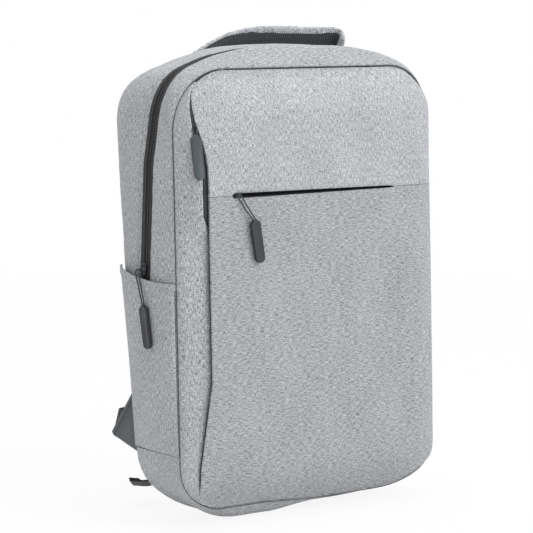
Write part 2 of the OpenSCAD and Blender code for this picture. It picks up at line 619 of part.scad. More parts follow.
front_upper_panel();
front_pocket_panel();
front_pocket_lining();
pocket_zip_upper();
pocket_zip_lower();
compartment_gusset();
compartment_zip_outer();
compartment_zip_inner();
front_gusset();
front_lining();
main_zip_front();
main_zip_rear();
rear_gusset();
rear_lining();
left_side_panel();
right_side_panel();
bottom_panel();
base_board();
divider_panel();
laptop_sleeve();
sleeve_strap();
back_foam();
back_panel();
left_back_pad();
right_back_pad();
strap_yoke();
left_side_pocket();
right_side_pocket();
left_pocket_binding();
right_pocket_binding();
left_strap_tab();
right_strap_tab();
left_lower_webbing();
right_lower_webbing();
left_handle_anchor();
right_handle_anchor();
handle_cover();
handle_mesh();
left_strap_pad();
left_strap_mesh();
left_strap_webbing();
left_ladder_lock();
left_webbing_tail();
right_strap_pad();
right_strap_mesh();
right_strap_webbing();
right_ladder_lock();
right_webbing_tail();
main_slider();
main_pull_cord();
main_pull_tab();
pocket_slider();
pocket_pull_cord();
pocket_pull_tab();
side_slider();
side_pull_cord();
side_pull_tab();
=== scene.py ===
import json
import math

import bpy
import numpy as np
from mathutils import Matrix, Vector, noise

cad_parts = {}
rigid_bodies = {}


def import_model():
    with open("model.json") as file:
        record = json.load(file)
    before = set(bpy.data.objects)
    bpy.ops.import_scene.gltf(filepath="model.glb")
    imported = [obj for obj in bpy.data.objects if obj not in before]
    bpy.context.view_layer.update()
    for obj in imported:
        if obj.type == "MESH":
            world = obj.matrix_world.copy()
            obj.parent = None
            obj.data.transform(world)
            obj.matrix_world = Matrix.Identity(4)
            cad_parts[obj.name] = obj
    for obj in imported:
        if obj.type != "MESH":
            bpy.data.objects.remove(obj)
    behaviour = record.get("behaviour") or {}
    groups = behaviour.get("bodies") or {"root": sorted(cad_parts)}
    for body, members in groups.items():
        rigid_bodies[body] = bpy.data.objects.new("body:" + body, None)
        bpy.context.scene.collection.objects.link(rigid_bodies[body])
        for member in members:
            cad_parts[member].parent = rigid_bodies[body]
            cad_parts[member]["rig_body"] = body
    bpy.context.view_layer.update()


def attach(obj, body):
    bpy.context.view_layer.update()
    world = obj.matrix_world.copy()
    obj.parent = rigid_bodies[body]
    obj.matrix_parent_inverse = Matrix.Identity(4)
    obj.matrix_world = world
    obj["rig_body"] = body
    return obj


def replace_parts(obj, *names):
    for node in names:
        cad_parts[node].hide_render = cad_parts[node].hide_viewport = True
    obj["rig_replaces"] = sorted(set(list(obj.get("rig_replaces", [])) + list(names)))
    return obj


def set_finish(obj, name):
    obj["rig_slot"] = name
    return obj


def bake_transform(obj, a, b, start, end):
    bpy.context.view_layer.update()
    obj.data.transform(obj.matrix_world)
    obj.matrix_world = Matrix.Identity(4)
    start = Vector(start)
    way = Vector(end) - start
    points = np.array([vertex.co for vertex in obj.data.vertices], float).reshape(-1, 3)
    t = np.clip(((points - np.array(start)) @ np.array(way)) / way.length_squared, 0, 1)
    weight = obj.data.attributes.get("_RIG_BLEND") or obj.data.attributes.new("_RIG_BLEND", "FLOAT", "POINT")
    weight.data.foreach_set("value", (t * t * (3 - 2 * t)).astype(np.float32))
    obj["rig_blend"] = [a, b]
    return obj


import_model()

# Laptop backpack: its cloth, padding, zips and straps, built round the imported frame.
# The shaping functions count in millimetres, with y from the plane of the front seam.
MM = 0.001
BASE_Y = 36.5
TO_FRAME = Matrix.Scale(MM, 4) @ Matrix.Translation((0, -BASE_Y, 0))
scene = bpy.context.scene
scene.view_settings.view_transform = "Standard"


# ---------------------------------------------------------------- camera, floor and light
def make_camera():
    eye, aim = Vector((-1.402, -1.8025, 0.490)), Vector((-0.050, -0.0365, 0.2406))
    lens = bpy.data.cameras.new("camera")
    lens.sensor_width, lens.lens, lens.clip_end = 36, 160.3, 40
    camera = bpy.data.objects.new("camera", lens)
    scene.collection.objects.link(camera)
    camera.location = eye
    camera.rotation_euler = (aim - eye).to_track_quat("-Z", "Y").to_euler()
    scene.camera = camera


make_camera()


# ---------------------------------------------------------------- finishes
class Value:
    """A shader socket in an expression: an operator on it adds the Math node."""

    def __init__(self, finish, socket):
        self.finish, self.socket = finish, socket

    def math(self, operation, *others):
        sockets = dict(enumerate((self,) + others))
        return self.finish.add("ShaderNodeMath", {"operation": operation}, sockets)

    def reflected(self, operation, other):
        return self.finish.add("ShaderNodeMath", {"operation": operation}, {0: other, 1: self})

    def __add__(self, other):
        return self.math("ADD", other)

    def __sub__(self, other):
        return self.math("SUBTRACT", other)

    def __mul__(self, other):
        return self.math("MULTIPLY", other)

    def __truediv__(self, other):
        return self.math("DIVIDE", other)

    def __pow__(self, other):
        return self.math("POWER", other)

    def __rsub__(self, other):
        return self.reflected("SUBTRACT", other)

    def __rtruediv__(self, other):
        return self.reflected("DIVIDE", other)

    __radd__, __rmul__ = __add__, __mul__

    def sine(self):
        return self.math("SINE")

    def held(self):
        """Kept from 0 to 1."""
        return self.finish.add("ShaderNodeClamp", {}, {"Value": self})


class Finish:
    """A material whose nodes are added by one method, round one Principled shader."""

    def __init__(self, name, **constants):
        self.material = bpy.data.materials.new(name)
        self.material.use_nodes = True
        self.tree = self.material.node_tree
        self.tree.nodes.clear()
        out = self.tree.nodes.new("ShaderNodeOutputMaterial")
        self.shader = self.tree.nodes.new("ShaderNodeBsdfPrincipled")
        self.tree.links.new(self.shader.outputs[0], out.inputs["Surface"])
        for socket, value in constants.items():
            self.shader.inputs[socket.replace("_", " ")].default_value = value

    def add(self, kind, settings=None, sockets=None, out=0):
        node = self.tree.nodes.new(kind)
        for key, value in (settings or {}).items():
            if key == "stops":
                while len(node.color_ramp.elements) < len(value):
                    node.color_ramp.elements.new(0.5)
                for stop, (at, colour) in zip(node.color_ramp.elements, value):
                    stop.position, stop.color = at, (*colour, 1)
            else:
                setattr(node, key, value)
        for key, value in (sockets or {}).items():
            self.put(node.inputs[key], value)
        return Value(self, node.outputs[out])

    def put(self, socket, value):
        if isinstance(value, Value):
            self.tree.links.new(value.socket, socket)
        else:
            socket.default_value = value

    def feed(self, **sockets):
        for socket, value in sockets.items():
            self.put(self.shader.inputs[socket.replace("_", " ")], value)
        return self.material

    def surface(self, on_object=False):
        """Metres over the cloth: its own UV map, or its place where it was remeshed."""
        return self.add("ShaderNodeTexCoord", {}, {}, "Object" if on_object else "UV")

    def scaled(self, vector, *scale):
        return self.add("ShaderNodeMapping", {"vector_type": "TEXTURE"},
                        {"Vector": vector, "Scale": tuple(s * MM for s in scale)})

    def noise(self, vector, detail=2.0, roughness=0.5):
        return self.add("ShaderNodeTexNoise", {"noise_dimensions": "3D"},
                        {"Vector": vector, "Scale": 1.0, "Detail": detail, "Roughness": roughness})

    def blend(self, factor, a, b):
        def colour(c):
            return c if isinstance(c, Value) else (*c, 1)
        sockets = {0: factor, 6: colour(a), 7: colour(b)}
        return self.add("ShaderNodeMix", {"data_type": "RGBA"}, sockets, 2)

    def axis(self, vector, which):
        return self.add("ShaderNodeSeparateXYZ", {}, {"Vector": vector}, which)

    def bump(self, height, depth, strength=1.0):
        return self.add("ShaderNodeBump", {},
                        {"Height": height, "Distance": depth * MM, "Strength": strength})


def melange(name, dark, light, run="up", on_object=False, contrast=4.3, sheen=0.25):
    """Two-tone heathered polyester: mixed light and dark threads along and across."""
    f = Finish(name, Roughness=0.88, Sheen_Weight=sheen, Sheen_Roughness=0.45, Specular_IOR_Level=0.25)
    at = f.surface(on_object)
    if on_object:
        longways, crossways = (1.1, 1.1, 5.5), (3.2, 3.2, 0.95)
        across, along = "X", "Z"
    else:
        longways, crossways = (0.72, 4.8, 1), (2.8, 0.78, 1)
        across, along = "X", "Y"
    if run == "across":
        longways, crossways = (5.4, 0.72, 1), (0.8, 2.8, 1)
    warp = f.noise(f.scaled(at, *longways), 1.6, 0.55)
    weft = f.noise(f.scaled(at, *crossways), 1.4, 0.55)
    flecks = f.noise(f.scaled(at, 0.8, 0.95, 0.9), 1.0, 0.5)
    slubs = f.noise(f.scaled(at, 38, 60, 45), 2.0, 0.5)
    thread = warp * 0.42 + weft * 0.30 + flecks * 0.28
    tone = ((thread - 0.5) * contrast + 0.52 + (slubs - 0.5) * 0.25).held()
    weave = (f.axis(f.scaled(at, 0.72, 0.72, 0.72), across) * math.tau).sine() \
        * (f.axis(f.scaled(at, 0.72, 0.72, 0.72), along) * math.tau).sine()
    return f.feed(Base_Color=f.blend(tone, dark, light), Roughness=0.8 + 0.15 * (1 - tone),
                  Normal=f.bump(weave * 0.3 + thread * 1.2, 0.22))


def ribbed(name, dark, light, rib, across_rib, roughness=0.7, depth=0.3, worn=0.35):
    """Woven tape: ribs along its run crossed by finer picks, with a faint fuzz."""
    f = Finish(name, Roughness=roughness, Sheen_Weight=0.3, Sheen_Roughness=0.4, Specular_IOR_Level=0.35)
    at = f.surface()
    ribs = (f.axis(at, "X") * (math.tau / (rib * MM))).sine()
    picks = (f.axis(at, "Y") * (math.tau / (across_rib * MM)) + ribs * 1.2).sine()
    fuzz = f.noise(f.scaled(at, 1.2, 2.4, 1), 3.0, 0.6)
    patches = f.noise(f.scaled(at, 14, 30, 1), 2.0, 0.5)
    tone = (picks * 0.18 + ribs * 0.12 + (fuzz - 0.5) * 1.3 + (patches - 0.5) * worn + 0.42).held()
    return f.feed(Base_Color=f.blend(tone, dark, light), Roughness=roughness - 0.1 + fuzz * 0.2,
                  Normal=f.bump(picks * 0.5 + ribs * 0.5 + fuzz * 0.4, depth))


def spacer(name, thread, hole, pitch=3.0, on_object=False):
    """Three-dimensional spacer mesh: staggered round holes between raised threads."""
    f = Finish(name, Roughness=0.75, Sheen_Weight=0.35, Sheen_Roughness=0.5, Specular_IOR_Level=0.3)
    at = f.surface(on_object)
    a, b = (f.axis(at, "X"), f.axis(at, "Z" if on_object else "Y"))
    k = math.tau / (pitch * MM)
    wave_1 = (a * k + b * (k * 0.577)).sine()
    wave_2 = (a * k - b * (k * 0.577)).sine()
    wave_3 = (b * (k * 1.155)).sine()
    holes = ((wave_1 * wave_2 + wave_3 * 0.35) * 1.4 + 0.1).held()
    fibres = f.noise(f.scaled(at, 0.8, 0.8, 0.8), 3.0, 0.6)
    tone = ((1 - holes) * 0.8 + (fibres - 0.5) * 0.6).held()
    return f.feed(Base_Color=f.blend(tone, hole, thread), Roughness=0.6 + 0.3 * holes,
                  Normal=f.bump(tone, 1.1))


def lining_cloth(name, dark, light):
    """Thin woven lining with a small ripstop square."""
    f = Finish(name, Roughness=0.6, Sheen_Weight=0.15, Specular_IOR_Level=0.4)
    at = f.surface()
    k = math.tau / (5.2 * MM)
    squares = ((f.axis(at, "X") * k).sine() ** 16 + (f.axis(at, "Y") * k).sine() ** 16).held()
    fine = f.noise(f.scaled(at, 0.9, 0.9, 0.9), 2.0, 0.6)
    broad = f.noise(f.scaled(at, 45, 45, 45), 2.0, 0.5)
    tone = (squares * 0.35 + (fine - 0.5) * 0.9 + (broad - 0.5) * 0.5 + 0.35).held()
    return f.feed(Base_Color=f.blend(tone, dark, light), Roughness=0.7 - squares * 0.15,
                  Normal=f.bump(squares * 0.7 + fine * 0.5, 0.25))


def moulded(name, low, high, roughness, grain=0.6, coat=0.0, metallic=0.0):
    """Moulded or cast part: fine spark grain, rubbed a little brighter in broad patches."""
    f = Finish(name, Metallic=metallic, Coat_Roughness=0.25, Specular_IOR_Level=0.5)
    at = f.surface(True)
    fine = f.noise(f.scaled(at, grain, grain, grain), 3.0, 0.65)
    rubbed = f.noise(f.scaled(at, 7, 7, 9), 2.0, 0.5)
    tone = ((fine - 0.5) * 0.7 + (rubbed - 0.5) * 1.1 + 0.5).held()
    return f.feed(Base_Color=f.blend(tone, low, high), Coat_Weight=coat, Normal=f.bump(fine, 0.06),
                  Roughness=roughness + (fine - 0.5) * 0.16 - rubbed * 0.05)


def braided(name, dark, light):
    """Braided pull cord or sewing thread: strands that cross on the slant."""
    f = Finish(name, Roughness=0.6, Sheen_Weight=0.3, Specular_IOR_Level=0.4)
    at = f.surface(True)
    a = f.axis(at, "X") + f.axis(at, "Y")
    k = math.tau / (0.9 * MM)
    strands = ((f.axis(at, "Z") + a * 0.9) * k).sine() * ((f.axis(at, "Z") - a * 0.9) * k).sine()
    fuzz = f.noise(f.scaled(at, 0.5, 0.5, 0.8), 2.0, 0.6)
    tone = (strands * 0.35 + fuzz * 0.6 + 0.1).held()
    return f.feed(Base_Color=f.blend(tone, dark, light), Roughness=0.5 + fuzz * 0.25,
                  Normal=f.bump(strands * 0.5 + fuzz * 0.5, 0.15))


def foamy(name, low, high):
    """Closed-cell foam: small pores and broad shallow dents."""
    f = Finish(name, Roughness=0.9, Specular_IOR_Level=0.2)
    at = f.surface(True)
    pores = f.noise(f.scaled(at, 1.3, 1.3, 1.3), 2.0, 0.7)
    dents = f.noise(f.scaled(at, 30, 30, 30), 2.0, 0.5)
    tone = ((pores - 0.5) * 0.9 + (dents - 0.5) * 0.5 + 0.6).held()
    return f.feed(Base_Color=f.blend(tone, low, high), Roughness=0.85 + (pores - 0.5) * 0.2,
                  Normal=f.bump(pores + dents, 0.3))


CLOTH_DARK, CLOTH_LIGHT = (0.175, 0.18, 0.19), (0.75, 0.765, 0.785)
CLOTH = melange("melange_up", CLOTH_DARK, CLOTH_LIGHT)
# The across melange is the upright one with its streaks turned and its colours darkened: the darkening is
# painted shade for the lower front panel, which takes less light than the upper one.
CLOTH_ACROSS_SHADED = melange("melange_across_shaded", (0.145, 0.15, 0.158), (0.64, 0.655, 0.672), run="across")
CLOTH_PADDED = melange("melange_padded", CLOTH_DARK, CLOTH_LIGHT, on_object=True)
SLATE_DARK, SLATE_LIGHT = (0.055, 0.062, 0.07), (0.19, 0.205, 0.22)
CLOTH_SLATE = melange("melange_slate", SLATE_DARK, SLATE_LIGHT, contrast=2.0)
CLOTH_SLATE_PADDED = melange("melange_slate_padded", SLATE_DARK, SLATE_LIGHT, on_object=True, contrast=2.0)
LINING = lining_cloth("lining_charcoal", (0.022, 0.023, 0.025), (0.075, 0.078, 0.083))
MESH = spacer("spacer_mesh_black", (0.041, 0.044, 0.049), (0.004, 0.0045, 0.005))
MESH_PADDED = spacer("spacer_mesh_padded", (0.075, 0.08, 0.087), (0.008, 0.0085, 0.009), pitch=4.2,
                     on_object=True)
WEBBING = ribbed("webbing_slate", (0.009, 0.010, 0.0115), (0.046, 0.05, 0.055), rib=3.0, across_rib=1.5,
                 depth=0.5)
ZIP_WEAVE = {"rib": 0.8, "across_rib": 0.9, "depth": 0.12}
ZIP_TAPE = ribbed("zip_tape_black", (0.007, 0.007, 0.008), (0.029, 0.029, 0.031), **ZIP_WEAVE)
ZIP_TAPE_SLATE = ribbed("zip_tape_slate", (0.030, 0.034, 0.040), (0.115, 0.127, 0.145), **ZIP_WEAVE)
COIL = moulded("zip_coil_nylon", (0.018, 0.018, 0.019), (0.045, 0.046, 0.048), 0.4)
TAB_SLATE = moulded("pull_tab_slate", (0.046, 0.061, 0.071), (0.062, 0.079, 0.090), 0.52, coat=0.1)
TAB_DARK = moulded("pull_tab_charcoal", (0.025, 0.027, 0.030), (0.038, 0.041, 0.044), 0.5, coat=0.1)
BUCKLE = moulded("buckle_nylon", (0.020, 0.021, 0.023), (0.045, 0.047, 0.050), 0.42, grain=0.8, coat=0.1)
SLIDER_METAL = moulded("slider_gunmetal", (0.055, 0.058, 0.062), (0.11, 0.115, 0.12), 0.38, metallic=0.85)
CORD = braided("pull_cord_black", (0.012, 0.012, 0.013), (0.09, 0.092, 0.096))
THREAD = braided("thread_grey", (0.25, 0.255, 0.265), (0.50, 0.51, 0.525))
THREAD_DARK = braided("thread_dark", (0.02, 0.021, 0.023), (0.09, 0.094, 0.10))
SEAM_THREAD = braided("thread_seam", (0.05, 0.052, 0.055), (0.19, 0.195, 0.205))
SEAM_TAPE = ribbed("seam_tape_dark", (0.012, 0.012, 0.013), (0.05, 0.051, 0.054), rib=1.2, across_rib=1.0,
                   depth=0.15)
BOARD = moulded("board_black", (0.02, 0.02, 0.021), (0.045, 0.045, 0.047), 0.55, grain=2.0)
FOAM = foamy("foam_white", (0.62, 0.62, 0.60), (0.80, 0.80, 0.78))


def make_stage():
    """A pale floor that keeps the object's shadow, soft lamps and a white surround."""
    bpy.ops.object.select_all(action="DESELECT")
    bpy.ops.mesh.primitive_plane_add(size=400, location=(0, 0, 0))
    floor = bpy.context.object
    floor.name = "floor"
    f = Finish("floor_pale", Roughness=0.9, Specular_IOR_Level=0.1)
    tint = f.noise(f.scaled(f.surface(True), 400, 400, 400), 2.0, 0.5)
    f.feed(Base_Color=f.blend(tint, (0.93, 0.93, 0.93), (0.97, 0.97, 0.97)))
    camera_ray = f.add("ShaderNodeLightPath", {}, {}, "Is Camera Ray")
    seen = camera_ray + f.add("ShaderNodeLightPath", {}, {}, "Is Glossy Ray")
    at = f.surface(True)
    far = ((f.axis(at, "X") ** 2 + f.axis(at, "Y") ** 2) * 0.25 - 0.1).held()
    seen = (seen + f.add("ShaderNodeLightPath", {}, {}, "Is Transmission Ray")).held() * (0.9 + 0.1 * far)
    glow = f.add("ShaderNodeEmission", {}, {"Color": (1, 1, 1, 1), "Strength": 1.0})
    f.shader.id_data.links.remove(f.shader.outputs[0].links[0])
    shown = f.add("ShaderNodeMixShader", {}, {0: seen, 1: Value(f, f.shader.outputs[0]), 2: glow})
    f.tree.links.new(shown.socket, f.tree.nodes["Material Output"].inputs["Surface"])
    floor.data.materials.append(f.material)

    world = bpy.data.worlds.new("surround")
    scene.world = world
    world.use_nodes = True
    nodes, links = world.node_tree.nodes, world.node_tree.links
    nodes.clear()
    out = nodes.new("ShaderNodeOutputWorld")
    mix = nodes.new("ShaderNodeMixShader")
    path = nodes.new("ShaderNodeLightPath")
    lit, white = nodes.new("ShaderNodeBackground"), nodes.new("ShaderNodeBackground")
    lit.inputs["Strength"].default_value = 0.59
    lit.inputs["Color"].default_value = (0.97, 0.985, 1.0, 1)
    white.inputs["Color"].default_value = (1, 1, 1, 1)
    links.new(path.outputs["Is Camera Ray"], mix.inputs[0])
    links.new(lit.outputs[0], mix.inputs[1])
    links.new(white.outputs[0], mix.inputs[2])
    links.new(mix.outputs[0], out.inputs["Surface"])

    for name, place, size, power in (("key_softbox", (1.0, -2.6, 2.2), 1.8, 47),
                                     ("top_softbox", (0.2, 0.2, 2.5), 1.6, 24)):
        lamp = bpy.data.lights.new(name, "AREA")
        lamp.size, lamp.energy = size, power
        holder = bpy.data.objects.new(name, lamp)
        scene.collection.objects.link(holder)
        holder.location = place
        holder.rotation_euler = (Vector((0, 0, 0.24)) - Vector(place)).to_track_quat("-Z", "Y").to_euler()


make_stage()


# ---------------------------------------------------------------- making pieces
def deselect():
    if bpy.context.object and bpy.context.object.mode != "OBJECT":
        bpy.ops.object.mode_set(mode="OBJECT")
    bpy.ops.object.select_all(action="DESELECT")


def take(piece):
    deselect()
    piece.select_set(True)
    bpy.context.view_layer.objects.active = piece
    return piece


def applied(piece, kind, **settings):
    take(piece)
    modifier = piece.modifiers.new(kind.title(), kind)
    for key, value in settings.items():
        setattr(modifier, key, value)
    bpy.ops.object.modifier_apply(modifier=modifier.name)
    return piece


def edited(piece, *steps):
    """Runs edit-mode operators on the whole mesh, each step a function."""
    take(piece)
    bpy.ops.object.mode_set(mode="EDIT")
    bpy.ops.mesh.select_all(action="SELECT")
    for step in steps:
        step()
    bpy.ops.object.mode_set(mode="OBJECT")
    return piece


def picked(piece, kind, test, *steps):
    """Runs edit-mode operators on the faces or edges whose middle and normal pass the test."""
    take(piece)
    bpy.ops.object.mode_set(mode="EDIT")
    bpy.ops.mesh.select_mode(type=kind)
    bpy.ops.mesh.select_all(action="DESELECT")
    bpy.ops.object.mode_set(mode="OBJECT")
    mesh = piece.data
    if kind == "FACE":
        for face in mesh.polygons:
            face.select = test(face.center, face.normal)
    else:
        for edge in mesh.edges:
            a, b = (mesh.vertices[i].co for i in edge.vertices)
            edge.select = test((a + b) / 2, (b - a).normalized())
    bpy.ops.object.mode_set(mode="EDIT")
    for step in steps:
        step()
    bpy.ops.mesh.select_mode(type="VERT")
    bpy.ops.object.mode_set(mode="OBJECT")
    return piece


def softened(piece, width, segments=2, sharper_than=None):
    """Rounds the edges: all of them, or those that turn by more than an angle."""
    if sharper_than is None:
        return applied(piece, "BEVEL", width=width, segments=segments)
    return applied(piece, "BEVEL", width=width, segments=segments, limit_method="ANGLE",
                   angle_limit=math.radians(sharper_than))


def corners_rounded(piece, axis, offset, segments):
    """Rounds the edges that run along one axis (0, 1 or 2)."""
    return picked(piece, "EDGE", lambda mid, run: abs(run[axis]) > 0.9,
                  lambda: bpy.ops.mesh.bevel(offset=offset, segments=segments))


def block(name, low, high):
    """A cube primitive between two corners, in the units of the frame it will be placed in."""
    deselect()
    low, high = Vector(low), Vector(high)
    bpy.ops.mesh.primitive_cube_add(size=1, location=(low + high) / 2, scale=high - low)
    bpy.ops.object.transform_apply(location=True, rotation=True, scale=True)
    piece = bpy.context.object
    piece.name = name
    return piece


def put(piece, matrix):
    """Moves a finished mesh into the shared frame, and leaves its object at the origin."""
    piece.data.transform(matrix)
    piece.data.update()
    return piece


def joined(name, *pieces):
    take(pieces[0])
    for piece in pieces[1:]:
        piece.select_set(True)
    bpy.ops.object.join()
    pieces[0].name = name
    return pieces[0]


def mirrored(piece, name):
    take(piece)
    bpy.ops.object.duplicate()
    twin = bpy.context.object
    twin.name = name
    twin.scale.x = -1
    bpy.ops.object.transform_apply(location=True, rotation=True, scale=True)
    return edited(twin, bpy.ops.mesh.flip_normals)


def ready(piece, finish, slot, body="bag", stands_for=(), angle=38, bends=None):
    """Gives a finished piece its material and smoothing, and sets what it moves with."""
    piece.data.materials.clear()
    piece.data.materials.append(finish)
    take(piece)
    bpy.ops.object.shade_smooth_by_angle(angle=math.radians(angle))
    if stands_for:
        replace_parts(piece, *([stands_for] if isinstance(stands_for, str) else stands_for))
    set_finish(piece, slot)
    if bends:
        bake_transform(piece, *bends)
    else:
        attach(piece, body)
    return piece


def both_sides(piece, finish, slot, node, lift=0.0, **how):
    """Readies a piece of the right side and its mirror image on the left, raised by lift."""
    ready(piece, finish, slot, stands_for="right" + node, **how)
    twin = put(mirrored(piece, piece.name.replace("right", "left")), Matrix.Translation((0, 0, lift * MM)))
    return piece, ready(twin, finish, slot, stands_for="left" + node, **how)


def lerp(a, b, t):
    return a + (b - a) * t


def clamp(value, low=0.0, high=1.0):
    return max(low, min(high, value))


def ease(t):
    return math.sin(math.pi / 2 * clamp(t))


def bell(distance, width):
    """1 at no distance, fading smoothly over the width."""
    return math.exp(-(distance / width) ** 2)


def spread(a, b, count):
    return [lerp(a, b, i / count) for i in range(count + 1)]


def wrinkle(x, y, z, size, amount, seed=0.0):
    return amount * noise.noise(Vector((x / size + seed, y / size - seed, z / size + 2.3 * seed)))


def cloth(name, across, along, place, thick=1.4, flat=None, rim=0.45):
    """A cloth piece: each point of a grid goes to place(across, along), in millimetres, its
    map is laid out in metres, and it gets its thickness inwards with rounded rims."""
    deselect()
    nu, nv = len(across) - 1, len(along) - 1
    bpy.ops.mesh.primitive_grid_add(x_subdivisions=nu, y_subdivisions=nv, size=1)
    piece = bpy.context.object
    piece.name = name
    mesh = piece.data
    points = np.array([[place(a, b) for a in across] for b in along], float)
    index = [(round((v.co.y + 0.5) * nv), round((v.co.x + 0.5) * nu)) for v in mesh.vertices]
    if flat:
        chart = np.array([[flat(*p) for p in row] for row in points])
    else:
        wide = np.linalg.norm(np.diff(points, axis=1), axis=2).mean(0)
        tall = np.linalg.norm(np.diff(points, axis=0), axis=2).mean(1)
        u, v = np.concatenate([[0], wide.cumsum()]), np.concatenate([[0], tall.cumsum()])
        chart = np.stack(np.meshgrid(u, v), axis=2)
    for vertex, (j, i) in zip(mesh.vertices, index):
        x, y, z = points[j, i]
        vertex.co = (x * MM, (y - BASE_Y) * MM, z * MM)
    layer = mesh.uv_layers.active.data
    for loop in mesh.loops:
        j, i = index[loop.vertex_index]
        layer[loop.index].uv = chart[j, i] * MM
    if thick:
        applied(piece, "SOLIDIFY", thickness=thick * MM, offset=-1, use_quality_normals=True)
        if rim:
            applied(piece, "BEVEL", width=rim * thick * MM, segments=2, limit_method="ANGLE",
                    angle_limit=math.radians(55), use_clamp_overlap=True)
    return piece


def curve_through(points, count):
    """Catmull-Rom points through a list of vectors."""
    p = [np.array(q, float) for q in points]
    p = [2 * p[0] - p[1]] + p + [2 * p[-1] - p[-2]]
    out = []
    spans = len(points) - 1
    for n in range(count + 1):
        s = n / count * spans
        k = min(int(s), spans - 1)
        t = s - k
        a, b, c, d = p[k:k + 4]
        out.append(0.5 * (2 * b + (c - a) * t + (2 * a - 5 * b + 4 * c - d) * t * t
                          + (3 * b - a - 3 * c + d) * t ** 3))
    return np.array(out)


def rod(name, points, radius, sides=8, matrix=TO_FRAME, closed=False):
    """A round cord or wire along a route, swept with a curve and made a mesh."""
    data = bpy.data.curves.new(name, "CURVE")
    data.dimensions = "3D"
    data.bevel_depth, data.bevel_resolution, data.use_fill_caps = radius, max(0, sides // 4 - 1), True
    spline = data.splines.new("POLY")
    spline.points.add(len(points) - 1)
    spline.use_cyclic_u = closed
    for point, at in zip(spline.points, points):
        point.co = (*at, 1)
    piece = bpy.data.objects.new(name, data)
    scene.collection.objects.link(piece)
    take(piece)
    bpy.ops.object.convert(target="MESH")
    return put(bpy.context.object, matrix)


def ribbon(name, path, dirs, width, thick, count=40, columns=4):
    """A flat band along a route; dirs are the directions of its width."""
    middle, sides = curve_through(path, count), curve_through(dirs, count)
    sides = sides / np.linalg.norm(sides, axis=1)[:, None]

    def place(a, b):
        k = b * count
        i = min(int(k), count - 1)
        m, s = lerp(middle[i], middle[i + 1], k - i), lerp(sides[i], sides[i + 1], k - i)
        return m + s * (a - 0.5) * width

    return cloth(name, spread(0, 1, columns), spread(0, 1, count), place, thick, rim=0.35)


def resampled(points, pitch):
    points = np.array(points, float)
    steps = np.linalg.norm(np.diff(points, axis=0), axis=1)
    reach = np.concatenate([[0], steps.cumsum()])
    at = np.arange(pitch / 2, reach[-1], pitch)
    return np.stack([np.interp(at, reach, points[:, k]) for k in range(3)], axis=1)


def one_stitch():
    deselect()
    bpy.ops.mesh.primitive_uv_sphere_add(segments=6, ring_count=4, radius=1)
    seed = bpy.context.object
    edited(seed, lambda: bpy.ops.transform.resize(value=(1.25, 0.30, 0.26)))
    corners = np.array([v.co for v in seed.data.vertices])
    faces = [list(f.vertices) for f in seed.data.polygons]
    bpy.data.objects.remove(seed)
    return corners, faces


STITCH = one_stitch()


def stitched(name, routes, on, finish, slot, body="bag", pitch=3.4, size=1.0, bends=None):
    """Rows of lockstitch laid on a piece: every stitch is a copy of one, turned along its row."""
    corners, faces = STITCH
    corners = corners * size * MM
    verts, polys = [], []
    for route in routes:
        points = resampled([(x * MM, (y - BASE_Y) * MM, z * MM) for x, y, z in route], pitch * MM)
        for k in range(len(points)):
            ahead = points[min(k + 1, len(points) - 1)] - points[max(k - 1, 0)]
            found, spot, normal, _ = on.closest_point_on_mesh(Vector(points[k]))
            if not found or not any(ahead):
                continue
            t = Vector(ahead)
            t = (t - normal * t.dot(normal)).normalized()
            side = normal.cross(t)
            turn = np.array([t, side, normal]).T
            base = len(verts)
            verts.extend((corners @ turn.T + np.array(spot + normal * 0.00004)).tolist())
            polys.extend([[base + i for i in f] for f in faces])
    mesh = bpy.data.meshes.new(name)
    mesh.from_pydata(verts, [], polys)
    piece = bpy.data.objects.new(name, mesh)
    scene.collection.objects.link(piece)
    return ready(piece, finish, slot, body, angle=80, bends=bends)


def puffed(piece, voxel, cap, pressure=4.0, frames=20, smooth=3):
    """Puffs a closed pad with a cloth simulation; no point may move further than cap."""
    applied(piece, "REMESH", mode="VOXEL", voxel_size=voxel * MM, use_smooth_shade=True)
    applied(piece, "SMOOTH", factor=0.5, iterations=smooth)
    mesh = piece.data
    start = np.empty(len(mesh.vertices) * 3)
    mesh.vertices.foreach_get("co", start)
    modifier = piece.modifiers.new("Puff", "CLOTH")
    cloth_set = modifier.settings
    cloth_set.use_pressure, cloth_set.uniform_pressure_force = True, pressure
    cloth_set.effector_weights.gravity = 0
    cloth_set.quality, cloth_set.mass, cloth_set.tension_stiffness = 5, 0.3, 20
    modifier.point_cache.frame_start, modifier.point_cache.frame_end = 1, frames
    take(piece)
    for step in range(1, frames + 1):
        scene.frame_set(step)
    bpy.ops.object.modifier_apply(modifier=modifier.name)
    scene.frame_set(1)
    end = np.empty_like(start)
    piece.data.vertices.foreach_get("co", end)
    moved = (end - start).reshape(-1, 3)
    far = np.linalg.norm(moved, axis=1, keepdims=True)
    moved *= np.minimum(1, cap * MM / np.maximum(far, 1e-9))
    piece.data.vertices.foreach_set("co", (start.reshape(-1, 3) + moved).ravel())
    piece.data.update()
    return applied(piece, "SUBSURF", levels=1, render_levels=1)


